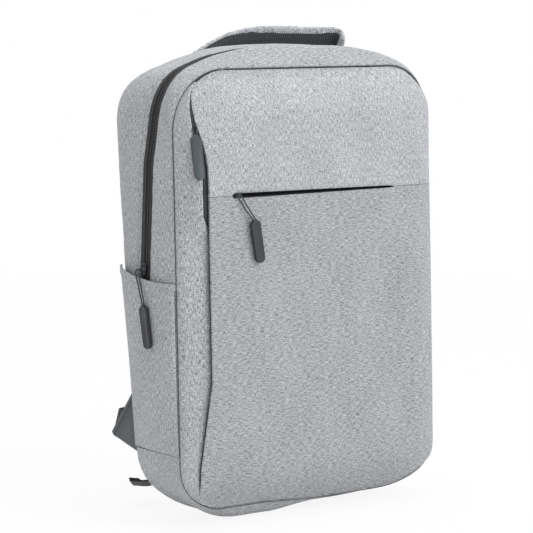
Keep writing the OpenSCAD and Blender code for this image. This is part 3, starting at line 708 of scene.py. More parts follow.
# ---------------------------------------------------------------- the bag's own measures
HALF_W, SEAM_TOP, CROWN_Z, SEAM_LOW = 154.0, 428.0, 447.0, 12.0
BASE_SEAM, ZIP_FOOT, STRAIGHT_TOP = 70.0, 220.0, 340.0
TOP_R, LOW_R = 60.0, 48.0
EDGE_IN = 3.5
TIGHTER, RIGHT_LOW_R, RIGHT_FLAT = 14.0, 34.0, 40.0
PANEL_TOP, PANEL_LOW = SEAM_TOP - EDGE_IN, SEAM_LOW + EDGE_IN
CORNER_TOP, CORNER_LOW = SEAM_TOP - TOP_R, SEAM_LOW + LOW_R
BULGE, INSET = 24.0, 24.0
SLIT_Z, SLIT_LEFT, SLIT_RIGHT = 311.0, -104.0, 91.0
FRONT_FOLD, ZIP_SIDE, REAR_FOLD = -14.5, 7.9, 78


def seam_y(z):
    return 0.032 * (z - 165)


def back_y(z):
    return 66 + 0.085 * z


def zip_y(z):
    if z <= STRAIGHT_TOP:
        return lerp(52.5, 45.5, (z - ZIP_FOOT) / (STRAIGHT_TOP - ZIP_FOOT))
    return lerp(45.5, 30, ease((z - STRAIGHT_TOP) / (CROWN_Z - STRAIGHT_TOP)))


def half_outline(w, top, low, rt, rb, s, flat=0.0):
    """A point of half an outline: s counts its stretches from the bottom centre to the top
    centre; flat draws its lower corner further in along the base."""
    k = min(int(s), 7)
    f = s - k
    if k == 1:
        a = math.radians(90 * f - 90)
        return w - (rb + flat) * (1 - math.cos(a)), low + rb + rb * math.sin(a)
    if k == 6:
        a = math.radians(90 * f)
        return w - rt + rt * math.cos(a), top - rt + rt * math.sin(a)
    if k in (0, 7):
        return (lerp(0, w - rb - flat, f), low) if k == 0 else (lerp(w - rt, 0, f), top)
    rise = (low + rb, BASE_SEAM, ZIP_FOOT, STRAIGHT_TOP, top - rt)
    return w, lerp(rise[k - 2], rise[k - 1], f)


def outline(w, top, low, rt, rb, q, flat=0.0, slump=0.0):
    """A point of the whole outline; slump is how far its upper corners have sunk."""
    q = q % 16
    x, z = half_outline(w, top, low, rt, rb, q if q <= 8 else 16 - q, flat)
    return (x if q <= 8 else -x), z - slump * sagged(x, z)


def raised(x, z):
    """How far the left end of the front's lower seam stands higher than the rest."""
    return 3.5 * clamp(-x / 60) * clamp((50 - z) / 30)


def sagged(x, z):
    return math.exp(-((abs(x) - 111) / (42 if abs(x) < 111 else 27)) ** 2) * clamp((z - 385) / 40)


def ring_front(q, grow=0.0, dy=0.0):
    tighter, low_r, flat = (TIGHTER, RIGHT_LOW_R, RIGHT_FLAT) if q % 16 <= 8 else (0, LOW_R, 0)
    x, z = outline(HALF_W + grow, SEAM_TOP + grow, SEAM_LOW - grow, TOP_R + grow - tighter,
                   low_r + grow, q, flat)
    z += raised(x, z)
    return np.array([x, seam_y(z) + dy, z])


def ring_zip(q, side, grow=0.0):
    x, z = outline(HALF_W + grow, CROWN_Z + grow, 0, TOP_R + 6, LOW_R + 6, q, slump=8.5)
    return np.array([x, zip_y(z) + side, z])


def ring_base(q, y):
    share = clamp((y + 5) / 30)
    x, z = outline(HALF_W, CROWN_Z, 0, TOP_R + 6, LOW_R + 6 + 12 * share, q, 38 * share, 12.5)
    return np.array([x, y, z])


def ring_back(q, inset=0.0, dy=0.0):
    x, z = outline(HALF_W - 4 - inset, CROWN_Z - 6 - inset, 4 + inset, TOP_R + 8 - inset,
                   LOW_R + 18 - inset, q, 36, 12)
    full = 3.2 * ease((z - 235) / 90) * clamp((425 - z) / 25)
    return np.array([x + math.copysign(full, x), back_y(z) + dy, z])


def outward(q):
    """Direction away from the bag in the plane of its outline."""
    a, b = ring_base(q - 0.01, 0), ring_base(q + 0.01, 0)
    d = (b - a) / np.linalg.norm(b - a)
    return np.array([d[2], 0, -d[0]])


def rounds(first, last):
    """Places round the outline, closer together on the corners."""
    steps = {0: 16, 1: 12, 2: 3, 3: 20, 4: 26, 5: 6, 6: 20, 7: 18}
    places = []
    for k in range(first, last):
        stretch = k % 16
        count = steps[stretch if stretch < 8 else 15 - stretch]
        places += [k + i / count for i in range(count)]
    return places + [last]


# ---------------------------------------------------------------- front panels
def lens(z):
    """How far the panel's free edge stands off the seam, as a share of its most."""
    t = clamp((416 - z) / 90)
    return min(1 - (1 - t) ** 2, 0.5 * ease((z - 16) / 36) + 0.5 * clamp((z - 30) / 110))


def inner_x(z, right=False):
    """Half width inside the front seam; the right side has its own corners."""
    if z > CORNER_TOP:
        shorter = TIGHTER if right else 0
        r, rise, flat = TOP_R - EDGE_IN - shorter, z - CORNER_TOP - shorter, 0
    else:
        low_r, flat = (RIGHT_LOW_R, RIGHT_FLAT) if right else (LOW_R, 0)
        r, rise = low_r - EDGE_IN, SEAM_LOW + low_r - z
    return HALF_W - EDGE_IN - (r + flat) * (1 - math.sqrt(1 - clamp(rise / r) ** 2))


def edge_x(z):
    return -inner_x(z) + max(0, INSET * lens(z) - EDGE_IN)


def edge_y(z):
    return seam_y(z) - BULGE * lens(z)


def panel_point(u, z):
    """The face of the front panel: u from its free left edge to the right seam."""
    swell = ease(min(PANEL_TOP - z, z - PANEL_LOW) / 46)
    to_seam = math.sqrt(max(0, 1 - clamp((u - 0.88) / 0.12) ** 2))
    x = lerp(edge_x(z), inner_x(z, True) + 1.3, u)
    y = seam_y(z) - BULGE * lerp(lens(z), swell, ease(u / 0.2)) * to_seam
    from_rim = min(PANEL_TOP - z, z - PANEL_LOW, (1 - u) * 290, 14)
    soft = ease(from_rim / 14)
    y += soft * (wrinkle(x, 0, z, 95, 1.5, 3.1) + wrinkle(x, 0, z, 31, 0.4, 7.7))
    pucker = 0.55 * x + 0.5 * z + 3 * noise.noise(Vector((x / 20, z / 20, 5)))
    y += 0.28 * math.exp(-from_rim / 4.5) * math.sin(pucker)
    z += 1.3 * (clamp((z - PANEL_TOP + 6) / 6) - clamp((PANEL_LOW + 6 - z) / 6)) + raised(x, z)
    return x, y, z


def slit_open(u):
    """How far the slit gapes at u, from 0 where its ends are sewn to 1 at its left end."""
    x = lerp(edge_x(SLIT_Z), inner_x(SLIT_Z), u)
    inside = ease((x - SLIT_LEFT) / 3) * ease((SLIT_RIGHT - x) / 8)
    return inside * lerp(1, 0.42, (x - SLIT_LEFT) / (SLIT_RIGHT - SLIT_LEFT))


def lip_point(u, z, gape, from_slit, roll, at, width, turned, reach):
    """A panel by the slit: its lip rolls outwards, then turns in at the edge."""
    x, y, z = panel_point(u, z)
    fade = clamp((1 - u) / 0.06)
    y -= fade * lerp(*roll, gape) * bell(from_slit - at, width)
    y += fade * lerp(*turned, gape) * bell(from_slit, reach)
    return x, y, z


def upper_point(u, t):
    gape = slit_open(u)
    foot = SLIT_Z + 0.12 + 2.4 * gape
    z = lerp(foot, PANEL_TOP, t)
    return lip_point(u, z, gape, z - foot, (0.45, 1.5), 5.5, 4.5, (0.9, 1.6), 1.4)


def lower_point(u, t):
    gape = slit_open(u)
    top = SLIT_Z - 0.12 - 2.2 * gape
    z = lerp(PANEL_LOW, top, t)
    return lip_point(u, z, gape, top - z, (0.35, 0.5), 4.5, 3.5, (0.9, 1.3), 1.3)


def as_share(values, low, high):
    return [(v - low) / (high - low) for v in values]


# Rows stand closer together by the slit, on the right edge and round the corners.
panel_u = spread(0, 0.02, 3)[:-1] + spread(0.02, 0.88, 84)[:-1] \
    + [1 - 0.12 * math.cos(math.pi / 2 * k / 14) for k in range(15)]
upper_rows = spread(0, 8, 9)[:-1] + spread(8, CORNER_TOP - SLIT_Z, 16)[:-1] \
    + [CORNER_TOP - SLIT_Z + (TOP_R - EDGE_IN) * math.sin(math.pi / 2 * k / 22) for k in range(23)]
lower_height = SLIT_Z - PANEL_LOW
lower_rows = [CORNER_LOW - PANEL_LOW - (LOW_R - EDGE_IN) * math.sin(math.pi / 2 * (18 - k) / 18)
              for k in range(18)] \
    + spread(CORNER_LOW - PANEL_LOW, lower_height - 8, 78)[:-1] + spread(lower_height - 8, lower_height, 9)

upper_cloth = ready(cloth("upper_front_cloth", panel_u, as_share(upper_rows, 0, PANEL_TOP - SLIT_Z),
                          upper_point, 2.4, lambda x, y, z: (x, z)),
                    CLOTH, "shell_cloth", stands_for="front_upper_panel")
ready(cloth("lower_front_cloth", panel_u, as_share(lower_rows, 0, lower_height),
            lower_point, 2.4, lambda x, y, z: (x, z)),
      CLOTH_ACROSS_SHADED, "shell_cloth", stands_for="front_pocket_panel")


# ---------------------------------------------------------------- side lens and its zip
def lens_share(z):
    return clamp((edge_x(z) + inner_x(z)) / 16.5)


def below_slider(z):
    """1 where the side zip's slider never comes, and the cloth closes over the zip."""
    return clamp((292 - z) / 16)


def lens_point(v, z):
    w = lens_share(z)
    shut = below_slider(z)
    seam = np.array([-inner_x(z) - 1.7, seam_y(z) - 0.1, z])
    ridge = np.array([edge_x(z) - lerp(6.6, -1.6, shut) * w - 0.9,
                      edge_y(z) + 0.6 + lerp(1.4, 7.0, shut) * w, z])
    tuck = np.array([edge_x(z) - lerp(3.6, -7.0, shut) * w - 0.9,
                     edge_y(z) + 1.5 + lerp(4.6, 7.8, shut) * w, z])
    run = ridge - seam
    out = np.array([run[1], -run[0], 0]) / (np.linalg.norm(run[:2]) + 1e-6)
    if v < 0.8:
        s = v / 0.8
        full = lerp(1.7, 3.4, shut) * math.sin(math.pi * s ** lerp(1, 0.72, shut)) ** 0.8
        p = lerp(seam, ridge, s) + out * w * (full - 0.8 * bell(s * 20, 2))
        creases = wrinkle(0, v * 30, z, 34, 0.8, 1.3) + wrinkle(0, v * 30, z, 90, 0.9, 4.3)
        p = p + out * w * ease(min(s, 1 - s) * 4) * creases
    else:
        s = (v - 0.8) / 0.2
        p = lerp(ridge, tuck, s) + out * w * 0.5 * math.sin(math.pi * s)
    return p + (0, 0, raised(-150, z))


lens_rows = spread(17, 60, 14)[:-1] + spread(60, 370, 76)[:-1] + spread(370, 415, 16)
ready(cloth("side_lens_cloth", spread(0, 0.8, 12)[:-1] + spread(0.8, 1, 5), lens_rows[::-1], lens_point, 1.2),
      CLOTH, "shell_cloth", stands_for="compartment_gusset")


def side_zip_point(c, z):
    w = max(0.25, lens_share(z))
    rib = 0.55 * bell(abs(c) - 1.7, 0.7)
    shut = below_slider(z)
    y = edge_y(z) + (4.6 + 8.2 * shut) * w + 0.6 * (1 - w) - rib
    return edge_x(z) + (9.6 * shut - 3.6 + c) * w, y, z


side_zip_rows = spread(24, 408, 150)
for where, cs in (("outer", (-5.6, -4, -2.9, -2.3, -1.7, -1.1, -0.5)),
                  ("inner", (0.5, 1.1, 1.7, 2.3, 2.9, 4, 5.2))):
    ready(cloth("side_zip_tape_" + where, cs, side_zip_rows, side_zip_point, 0.9), ZIP_TAPE_SLATE,
          "zip_tape", stands_for="compartment_zip_" + where)


# ---------------------------------------------------------------- gussets, main zip, sides and bottom
def gusset_point(v, q, front, middle, rear, bend, wide, crown, seed):
    """Across a gusset: straight from one seam to the other past its middle ring, then crowned,
    pulled in at both seams and softly creased."""
    if v < bend:
        p = lerp(front(q), middle(q), v / bend)
    else:
        p = lerp(middle(q), rear(q), (v - bend) / (1 - bend))
    soft = bell(v - bend, 0.12)
    if 0.1 < v < 0.9:
        before = lerp(front(q), middle(q), (v - 0.08) / bend)
        beyond = lerp(middle(q), rear(q), (v + 0.08 - bend) / (1 - bend))
        p = lerp(p, 0.5 * before + 0.5 * beyond, soft * 0.6)
    a, b = v * wide, (1 - v) * wide
    lift = crown * math.sin(math.pi * v) ** 0.8 - 1.1 * bell(a, 2.4) - 0.9 * bell(b, 1.8)
    soft = ease(min(a, b) / 9)
    lift += soft * (wrinkle(*p, 52, 1.1, seed) + wrinkle(*p, 19, 0.3, seed + 5))
    lift += 0.22 * math.exp(-min(a, b) / 4) * math.sin(q * 41 + 4 * noise.noise(Vector((q * 3, seed, 0))))
    return p + outward(q) * lift


def front_gusset_point(v, q):
    return gusset_point(v, q, ring_front, lambda k: ring_zip(k, FRONT_FOLD), lambda k: ring_zip(k, -ZIP_SIDE),
                        0.82, 38, 1.5, 2.0)


def rear_crown(q):
    """The rear gusset's crown, fullest beside the straight stretch of the main zip."""
    up = min(q, 16 - q)
    return 0.8 + 3.2 * ease((up - 4) * 3) * ease((6.3 - up) * 2)


def rear_gusset_point(v, q):
    return gusset_point(v, q, lambda k: ring_zip(k, ZIP_SIDE), lambda k: ring_base(k, REAR_FOLD), ring_back,
                        0.45, 42, rear_crown(q), 8.0)


front_gusset, rear_gusset = (
    ready(cloth(node + "_cloth", spread(0, 1, 20), rounds(4, 12), point, 1.5), CLOTH, "shell_cloth",
          stands_for=node)
    for node, point in (("front_gusset", front_gusset_point), ("rear_gusset", rear_gusset_point)))


def main_zip_point(c, q):
    rib = 0.75 * bell(abs(c) - 2.1, 0.75) - 0.5 * clamp((abs(c) - 7) / 2)
    return ring_zip(q, c) + outward(q) * (rib - 0.9)


zip_rows = rounds(4, 12)
zip_across = (0.4, 0.9, 1.3, 1.8, 2.3, 2.8, 3.3, 4.2, 5.5, 7, 9.4)
for where, cs in (("front", [-c for c in zip_across[::-1]]), ("rear", zip_across)):
    ready(cloth("main_zip_tape_" + where, cs, zip_rows, main_zip_point, 0.9), ZIP_TAPE, "zip_tape",
          stands_for="main_zip_" + where)


# Dark tape at the bottom of the front seam's groove: the seam's inner binding, and painted shade that keeps
# the seam line dark.
def seam_shade_tape_point(v, q):
    return ring_front(q, lerp(-4.5, -0.9, v), 1.4)


ready(cloth("front_seam_shade_tape", spread(0, 1, 2), rounds(0, 16), seam_shade_tape_point, 0.5, rim=0), ZIP_TAPE_SLATE,
      "zip_tape")
seam_line = [tuple(ring_front(q, -0.9, -0.2)) for q in rounds(0, 16)[:-1]]
ready(rod("front_seam_cord", seam_line, 0.55, 8, closed=True), SEAM_THREAD, "zip_tape", angle=80)
# Dark cord behind the panel's free edge: the dark lining at its hem, and painted shade for the dark line in
# the gap beside it.
edge_line = [(edge_x(z) + 0.3, edge_y(z) + 2.7, z + raised(-150, z)) for z in spread(18, 300, 90)]
ready(rod("panel_edge_lining_shade_cord", edge_line, 0.6, 8), SEAM_TAPE, "zip_tape", angle=80)


def side_panel_point(v, z):
    y = lerp(seam_y(z), back_y(z), v)
    x = HALF_W - 4 * clamp((y - 40) / (back_y(z) - 40)) ** 1.5
    soft = ease(min(v, 1 - v) * 8)
    return x + soft * wrinkle(0, y, z, 30, 0.6, 3.3) - 0.8 * bell(v * 80, 2.5), y, z


right_side = cloth("right_side_cloth", spread(0, 1, 26), spread(70.3, 221.5, 36), side_panel_point, 1.5)
both_sides(right_side, CLOTH, "shell_cloth", "_side_panel")


def bottom_point(v, q):
    low = 1 - abs(q - 16) / 3
    rolled = ease(low * 4)
    left = clamp((16.3 - q) / 0.8)
    stops = ((0, ring_front(q)), (0.16, ring_base(q, 8) + (0, 0, lerp(10, 3.5, left) * rolled)),
             (0.32, ring_base(q, 24) + (0, 0, lerp(4, 0.5, left) * rolled)),
             (0.54, ring_base(q, 42)), (0.84, ring_base(q, 64)), (1, ring_back(q)))

    def along(t):
        for (a, p), (b, r) in zip(stops, stops[1:]):
            if t <= b:
                return lerp(p, r, (t - a) / (b - a))
        return stops[-1][1]
    p = along(v)
    if 0.02 < v < 0.98:
        p = (along(max(0, v - 0.05)) + 2 * p + along(min(1, v + 0.05))) / 4
    soft = ease(min(v, 1 - v) * 7)
    lift = soft * (wrinkle(*p, 40, 0.9, 6.1) + 0.5) - 0.9 * bell(v * 78, 2.4)
    p = p + outward(q) * lift
    p[2] = max(p[2], 0.02)
    return p


ready(cloth("bottom_cloth", spread(0, 1, 26), rounds(13, 19), bottom_point, 1.5), CLOTH, "shell_dark",
      stands_for="bottom_panel")


# ---------------------------------------------------------------- side pockets
def mouth(v):
    return lerp(229, 241, v ** 3)


def pocket_point(v, k, proud=0.0):
    z = lerp(70.5, mouth(v), k)
    foot = 155.7
    full = foot + 5.4 * math.sqrt(max(0, math.sin(math.pi * clamp(v))))
    x = lerp(foot, full, min(1, 4 * k)) - 3 * v ** 4 + proud
    below = mouth(v) - z
    soft = ease(min(v, 1 - v) * 7)
    x += soft * (wrinkle(0, v * 90, z, 48, 1.0, 9.2) + wrinkle(0, v * 90, z, 20, 0.3, 2.2))
    x += soft * 0.32 * math.exp(-below / 16) * math.sin(v * 58 + 3 * noise.noise(Vector((v * 9, 1, 3))))
    x -= 0.9 * bell(v * 84, 2) * (1 - k * 0.3)
    x += 5.2 * ease((v - 0.55) / 0.4) * clamp((k - 0.25) / 0.75) ** 1.4
    return x, lerp(seam_y(z) + 0.2, back_y(z) - 1, v), z


def pocket_binding_point(v, a):
    """Hem of the pocket's mouth, folded from the outside over its edge to the inside."""
    x, y, _ = pocket_point(v, 1)
    turn = math.radians(lerp(0, 180, clamp((a - 0.42) / 0.16)))
    radius = 1.25
    if a < 0.42:
        out, z = radius, lerp(-5.6, 0, a / 0.42)
    elif a > 0.58:
        out, z = -radius, lerp(0, -5.0, (a - 0.58) / 0.42)
    else:
        out, z = radius * math.cos(turn), radius * math.sin(turn)
    return x - 0.75 + out, y, mouth(v) + z + 0.6


pocket_v = [0, 0.01, 0.025, 0.045, 0.07] + spread(0.1, 0.93, 26) + [0.96, 0.98, 1]
pocket_rows = spread(0, 0.08, 3)[:-1] + spread(0.08, 1, 40)
hem_across = [0, 0.15, 0.3, 0.42, 0.45, 0.48, 0.52, 0.55, 0.58, 0.75, 1]
both_sides(cloth("right_pocket_cloth", pocket_v, pocket_rows, pocket_point, 1.2), CLOTH, "shell_cloth",
           "_side_pocket")
hems = both_sides(cloth("right_pocket_hem", pocket_v, hem_across, pocket_binding_point, 0.5, rim=0), CLOTH,
                  "shell_cloth", "_pocket_binding")


# ---------------------------------------------------------------- back panel, pads and yoke
def rounded_half(w, low, high, r, z):
    """Half width of a rounded board at height z."""
    rise = max(0, z - (high - r), (low + r) - z)
    return w / 2 - r + math.sqrt(max(0, r * r - min(rise, r) ** 2))


def rounded_rows(low, high, r, step):
    arc = [r - r * math.cos(math.pi / 2 * k / 9) for k in range(9)]
    count = max(2, round((high - low - 2 * r) / step))
    middle = spread(low + r, high - r, count)[:-1]
    return [low + a for a in arc] + middle + [high - a for a in [r] + arc[::-1]]


def board_cloth(name, w, low, high, r, y_of, thick, crown=1.0, step=6.0, columns=30, seed=0.0, middle=0.0,
                rim=0.45):
    """A rounded sheet that faces the back, crowned a little, its upper corners sunk."""
    def place(u, z):
        half = rounded_half(w, low, high, r, z)
        x = middle + lerp(half, -half, u)
        inside = min(u, 1 - u) * 2 * half, z - low, high - z
        soft = ease(min(inside) / 16)
        y = y_of(z) + soft * (crown + wrinkle(x, 0, z, 60, 0.5, seed))
        return x, y, z - 12 * sagged(x, z)
    return cloth(name, spread(0, 1, columns), rounded_rows(low, high, r, step), place, thick, rim=rim)


ready(board_cloth("back_panel_cloth", 298, 9, 436, 66, lambda z: back_y(z) - 0.1, 1.5, 0.9, seed=4.4),
      CLOTH_SLATE, "shell_dark", stands_for="back_panel")


PAD_X, PAD_W, PAD_LOW, PAD_HIGH, PAD_R = 64, 93, 72, 383, 25


def pad_mesh():
    """One back pad: a foam block under spacer mesh, puffed, then quilted with three channels."""
    pad = board_cloth("right_back_cushion", PAD_W, PAD_LOW, PAD_HIGH, PAD_R, lambda z: back_y(z) + 5.2, 4.4,
                      0.8, 5, 20, 1.1, middle=PAD_X, rim=0)
    puffed(pad, 3.6, 3.0)
    for vertex in pad.data.vertices:
        x, y, z = vertex.co / MM
        y += BASE_Y
        raised = clamp((y - back_y(z) - 1.5) / 3)
        groove = sum(bell(z - at, 3.2) for at in (148, 227, 306))
        vertex.co.y -= MM * raised * 2.6 * min(1, groove)
    pad.data.update()
    return pad


right_pad = pad_mesh()
left_pad = mirrored(right_pad, "left_back_cushion")
for pad, side in ((right_pad, "right"), (left_pad, "left")):
    ready(pad, MESH_PADDED, "spacer_mesh", stands_for=side + "_back_pad", angle=80)
    s = 1 if side == "right" else -1
    low, high, r = PAD_LOW - 1, PAD_HIGH + 1, PAD_R + 1
    border = [(s * (PAD_X + way * rounded_half(PAD_W + 2, low, high, r, z)), back_y(z) + 1.5, z)
              for way in (1, -1) for z in rounded_rows(low, high, r, 8)[::way]]
    ready(rod(side + "_cushion_piping", border, 1.5, 8, closed=True), SEAM_TAPE, "webbing", angle=80)

yoke = board_cloth("strap_yoke_cloth", 178, 411.6, 434, 7, lambda z: back_y(z) + 3.0, 2.6, 0.7, 3, 40, 2.0)
ready(yoke, CLOTH_SLATE, "shell_dark", stands_for="strap_yoke")
piping = [tuple(ring_back(q, 3.0, 1.4)) for q in rounds(0, 16)]
ready(rod("rear_seam_piping", piping, 1.3, 8, closed=True), CLOTH_SLATE_PADDED, "webbing", angle=80)


# ---------------------------------------------------------------- carrying handle
def turn(axis, degrees):
    return Matrix.Rotation(math.radians(degrees), 4, axis)


def move(x, y, z):
    return Matrix.Translation((x, y, z))


HANDLE = move(0, 72, CROWN_Z + 0.5) @ turn("X", -64)


def handle_arch(k):
    """Middle line of the handle, from its left root (-1), which sags, to its upright right end (1)."""
    if k <= 0.25:
        return Vector((95 * k if k <= 0 else 104.5 * k / 0.9, 0, 20.5 * (1 - 0.66 * (0.25 - k) ** 2)))
    if k <= 0.9:
        return Vector((104.5 * k / 0.9, 0, 20.5 - 5.5 * ((k - 0.25) / 0.65) ** 2))
    t = (k - 0.9) / 0.1
    return Vector((104.5 + math.sin(math.pi * t) - 7 * t, 0, 15 - 13.5 * t))


def handle_point(s, across, lift, inset_up=0.0, inset_down=0.0):
    """On the handle: s from its left root (-1) to its right end (1), lift out from its inner face."""
    s = clamp(s, -0.999, 0.999)
    run = (handle_arch(min(1, s + 0.02)) - handle_arch(max(-1, s - 0.02))).normalized()
    up = Vector((-run.z, 0, run.x))
    left = clamp((-s - 0.35) / 0.62)
    wide_up, wide_down = lerp(9.2, 4.5, left) - inset_up, lerp(12.4, 5, left) - inset_down
    p = HANDLE @ (handle_arch(s) + up * lift + Vector((0, lerp(-wide_up, wide_down, (across + 1) / 2), 0)))
    sunk = 13 * max(0, 0.25 - s) ** 2 + 5 * clamp((s - 0.9) / 0.1) ** 1.5
    return np.array(p) - (0, 0, sunk)


handle_s = [math.sin(math.pi / 2 * k / 34) * 0.995 for k in range(34, -35, -1)]
handle_cover = cloth("handle_cover_cloth", spread(-1, 1, 10), handle_s,
                     lambda a, s: handle_point(s, a, 5.0 - 0.9 * a * a), 4.2, rim=0)
puffed(handle_cover, 1.9, 1.6, pressure=3.0, smooth=9)
handle_bends = ("bag", "handle", *(tuple(TO_FRAME @ HANDLE @ Vector((0, 0, up))) for up in (0.5, 8)))
ready(handle_cover, CLOTH_PADDED, "shell_cloth", stands_for="handle_cover", angle=80, bends=handle_bends)


def handle_mesh_point(a, s):
    return handle_point(s, a, -1.4 + 1.3 * a ** 4, lerp(5.5, 2, clamp((0.25 - s) / 0.7)), 1.6)


mesh_s = [lerp(-0.66, 0.93, (s + 1) / 2) for s in handle_s]
ready(cloth("handle_mesh_cloth", spread(1, -1, 10), mesh_s, handle_mesh_point, 1.3), MESH, "spacer_mesh",
      stands_for="handle_mesh", bends=handle_bends)

anchor = block("right_handle_anchor_cloth", (93.4, 66.4, 431), (107, 77.2, 444.6))
for vertex in anchor.data.vertices:
    if vertex.co.x > 100 and vertex.co.z > 440:
        vertex.co.z -= 5.5
picked(anchor, "EDGE", lambda mid, run: True, lambda: bpy.ops.mesh.bevel(offset=2.6, segments=4, profile=0.6))
edited(anchor, lambda: bpy.ops.mesh.subdivide(number_cuts=1))
put(anchor, TO_FRAME)
both_sides(anchor, CLOTH_PADDED, "shell_dark", "_handle_anchor", lift=-9, angle=70)


# ---------------------------------------------------------------- shoulder straps
STRAP_LINE = [(46, 3.2, 411), (47, 13, 400), (49, 24, 388), (53, 33, 368), (60, 38, 340), (68, 41, 300),
              (75, 40, 262), (81, 37, 225), (86, 33, 195), (88, 31, 172)]
strap_middle = curve_through([(x, back_y(z) + off, z) for x, off, z in STRAP_LINE], 90)
strap_side = curve_through([(1, 0, 0.14 * min(1, i / 3)) for i in range(10)], 90)


def strap_point(t, across, off, wide):
    """On the shoulder strap: t from its root to its foot, off away from the back."""
    k = clamp(t) * 90
    i = min(int(k), 89)
    p = lerp(strap_middle[i], strap_middle[i + 1], k - i)
    ahead = strap_middle[min(i + 2, 90)] - strap_middle[max(i - 1, 0)]
    if t < 0:
        p = p + np.array([0, 0.085, 1]) * (-t) * 270
    ahead = np.array([0, ahead[1], ahead[2]]) / np.linalg.norm(ahead[1:])
    side = lerp(strap_side[i], strap_side[i + 1], k - i)
    side = side / np.linalg.norm(side)
    return p + side * across * wide / 2 + off * np.array([0, -ahead[2], ahead[1]])


def strap_width(t):
    return lerp(56, 62, ease(t * 5)) * (1 - 0.28 * clamp((t - 0.93) / 0.07) ** 2)


strap_t = spread(-0.035, 1, 64)


def cushion_point(a, t):
    return strap_point(t, a, lerp(4.0, 9.6, ease((t + 0.03) * 9)) - 1.6 * a ** 4, strap_width(t) - 2)


def lining_mesh_point(a, t):
    return strap_point(t, a, lerp(3.0, -0.9, ease((t + 0.03) * 9)) + 1.5 * a ** 4, strap_width(t) - 7)


def strap_edge_point(a, t):
    return tuple(strap_point(t, a, lerp(3.6, 3.2, clamp(t * 9)), strap_width(t) - 2))


right_strap = cloth("right_strap_cushion", spread(1, -1, 16), strap_t[::-1], cushion_point, 3.2, rim=0)
puffed(right_strap, 3.6, 2.2)

strap_mesh = cloth("right_strap_mesh_cloth", spread(-1, 1, 14), strap_t[::-1], lining_mesh_point, 1.6)
strap_edge = [strap_edge_point(1, t) for t in spread(-0.03, 1, 70)]
strap_edge += [strap_edge_point(a, 1) for a in spread(0.9, -0.9, 8)]
strap_edge += [strap_edge_point(-1, t) for t in spread(1, -0.03, 70)]
strap_binding = rod("right_strap_binding", strap_edge, 2.0, 8)

WEB_W, WEB_T = 25.0, 1.6
WEB_START, WEB_BOX = 0.535, (0.545, 0.61)
web_rows = spread(WEB_START, 1.012, 46)


def web_point(a, t):
    off = 11.5 + 1.3 * ease(clamp((t - WEB_START) * 30)) + 0.15 * (1 - a * a)
    return strap_point(t, a, off, WEB_W)


strap_web = cloth("right_strap_webbing_band", spread(-1, 1, 6), web_rows, web_point, WEB_T, rim=0.35)

lock_y = strap_point(1, 0, 11.2, 62)[1] - 1
LOCK_Z = 167
LOCK = move(88, lock_y, LOCK_Z) @ turn("X", 8)


def ladder_lock():
    """Ladder lock: a frame with two windows for the webbing, round bars and a ridged lower lip."""
    plate = block("right_ladder_lock_body", (-16.5, -2, -30), (16.5, 2, 0.4))
    corners_rounded(plate, 1, 3.2, 4)
    for low, high in ((-11.6, -4.2), (-25.2, -16.4)):
        window = block("window", (-13.1, -6, low), (13.1, 6, high))
        corners_rounded(window, 1, 1.2, 3)
        applied(plate, "BOOLEAN", object=window, operation="DIFFERENCE", solver="EXACT")
        bpy.data.objects.remove(window)
    softened(plate, 0.55, sharper_than=50)
    parts = [plate]
    for z, radius in ((-2, 2.0), (-14, 2.0), (-28, 2.3)):
        deselect()
        bpy.ops.mesh.primitive_cylinder_add(vertices=20, radius=radius, depth=31, location=(0, 0, z),
                                            rotation=(0, math.pi / 2, 0))
        bpy.ops.object.transform_apply(location=True, rotation=True, scale=True)
        bar = bpy.context.object
        picked(bar, "FACE", lambda mid, n: abs(n.x) > 0.9, lambda: bpy.ops.mesh.inset(thickness=0.5))
        softened(bar, 0.5, sharper_than=60)
        parts.append(bar)
    for k in range(5):
        ridge = block("ridge", (-12 + 5 * k, -2.6, -31.4), (-9 + 5 * k, 2.6, -29.6))
        softened(ridge, 0.6)
        parts.append(ridge)
    return put(joined("right_ladder_lock_body", *parts), TO_FRAME @ LOCK)


lock = ladder_lock()
TAIL = [(0, 2.9, -1.5), (0, 4.4, -12), (0, 4.2, -30), (-1, 2, -60), (-2, -4, -90), (-3, -15, -124),
        (-7, -23.5, -137), (-15, -22.3, -145.5), (-27.2, -9.1, -148)]
TAIL_END = [(-20, -16.6, -147), (-23.6, -13, -147.5), (-27.6, -8.7, -148)]


def across_tail(t):
    """Direction of the tail's width: level under the lock, turned and tipped at its end."""
    tip = math.radians(50 * t)
    return tuple(LOCK.to_3x3() @ Vector((-math.cos(tip), 0.78 * math.sin(tip), -0.63 * math.sin(tip))))


tail = ribbon("right_webbing_tail_band", [tuple(LOCK @ Vector((-x, y, z))) for x, y, z in TAIL],
              [across_tail(clamp((i - 3) / 3.4)) for i in range(9)], 24, WEB_T, 60, 6)
hem_fold = ribbon("right_webbing_tail_fold", [tuple(LOCK @ Vector((-x, y, z + 1.9))) for x, y, z in TAIL_END],
                  [across_tail(t) for t in (0.9, 0.95, 1)], 24.4, WEB_T, 10, 6)
tail = joined("right_webbing_tail_band", tail, hem_fold)

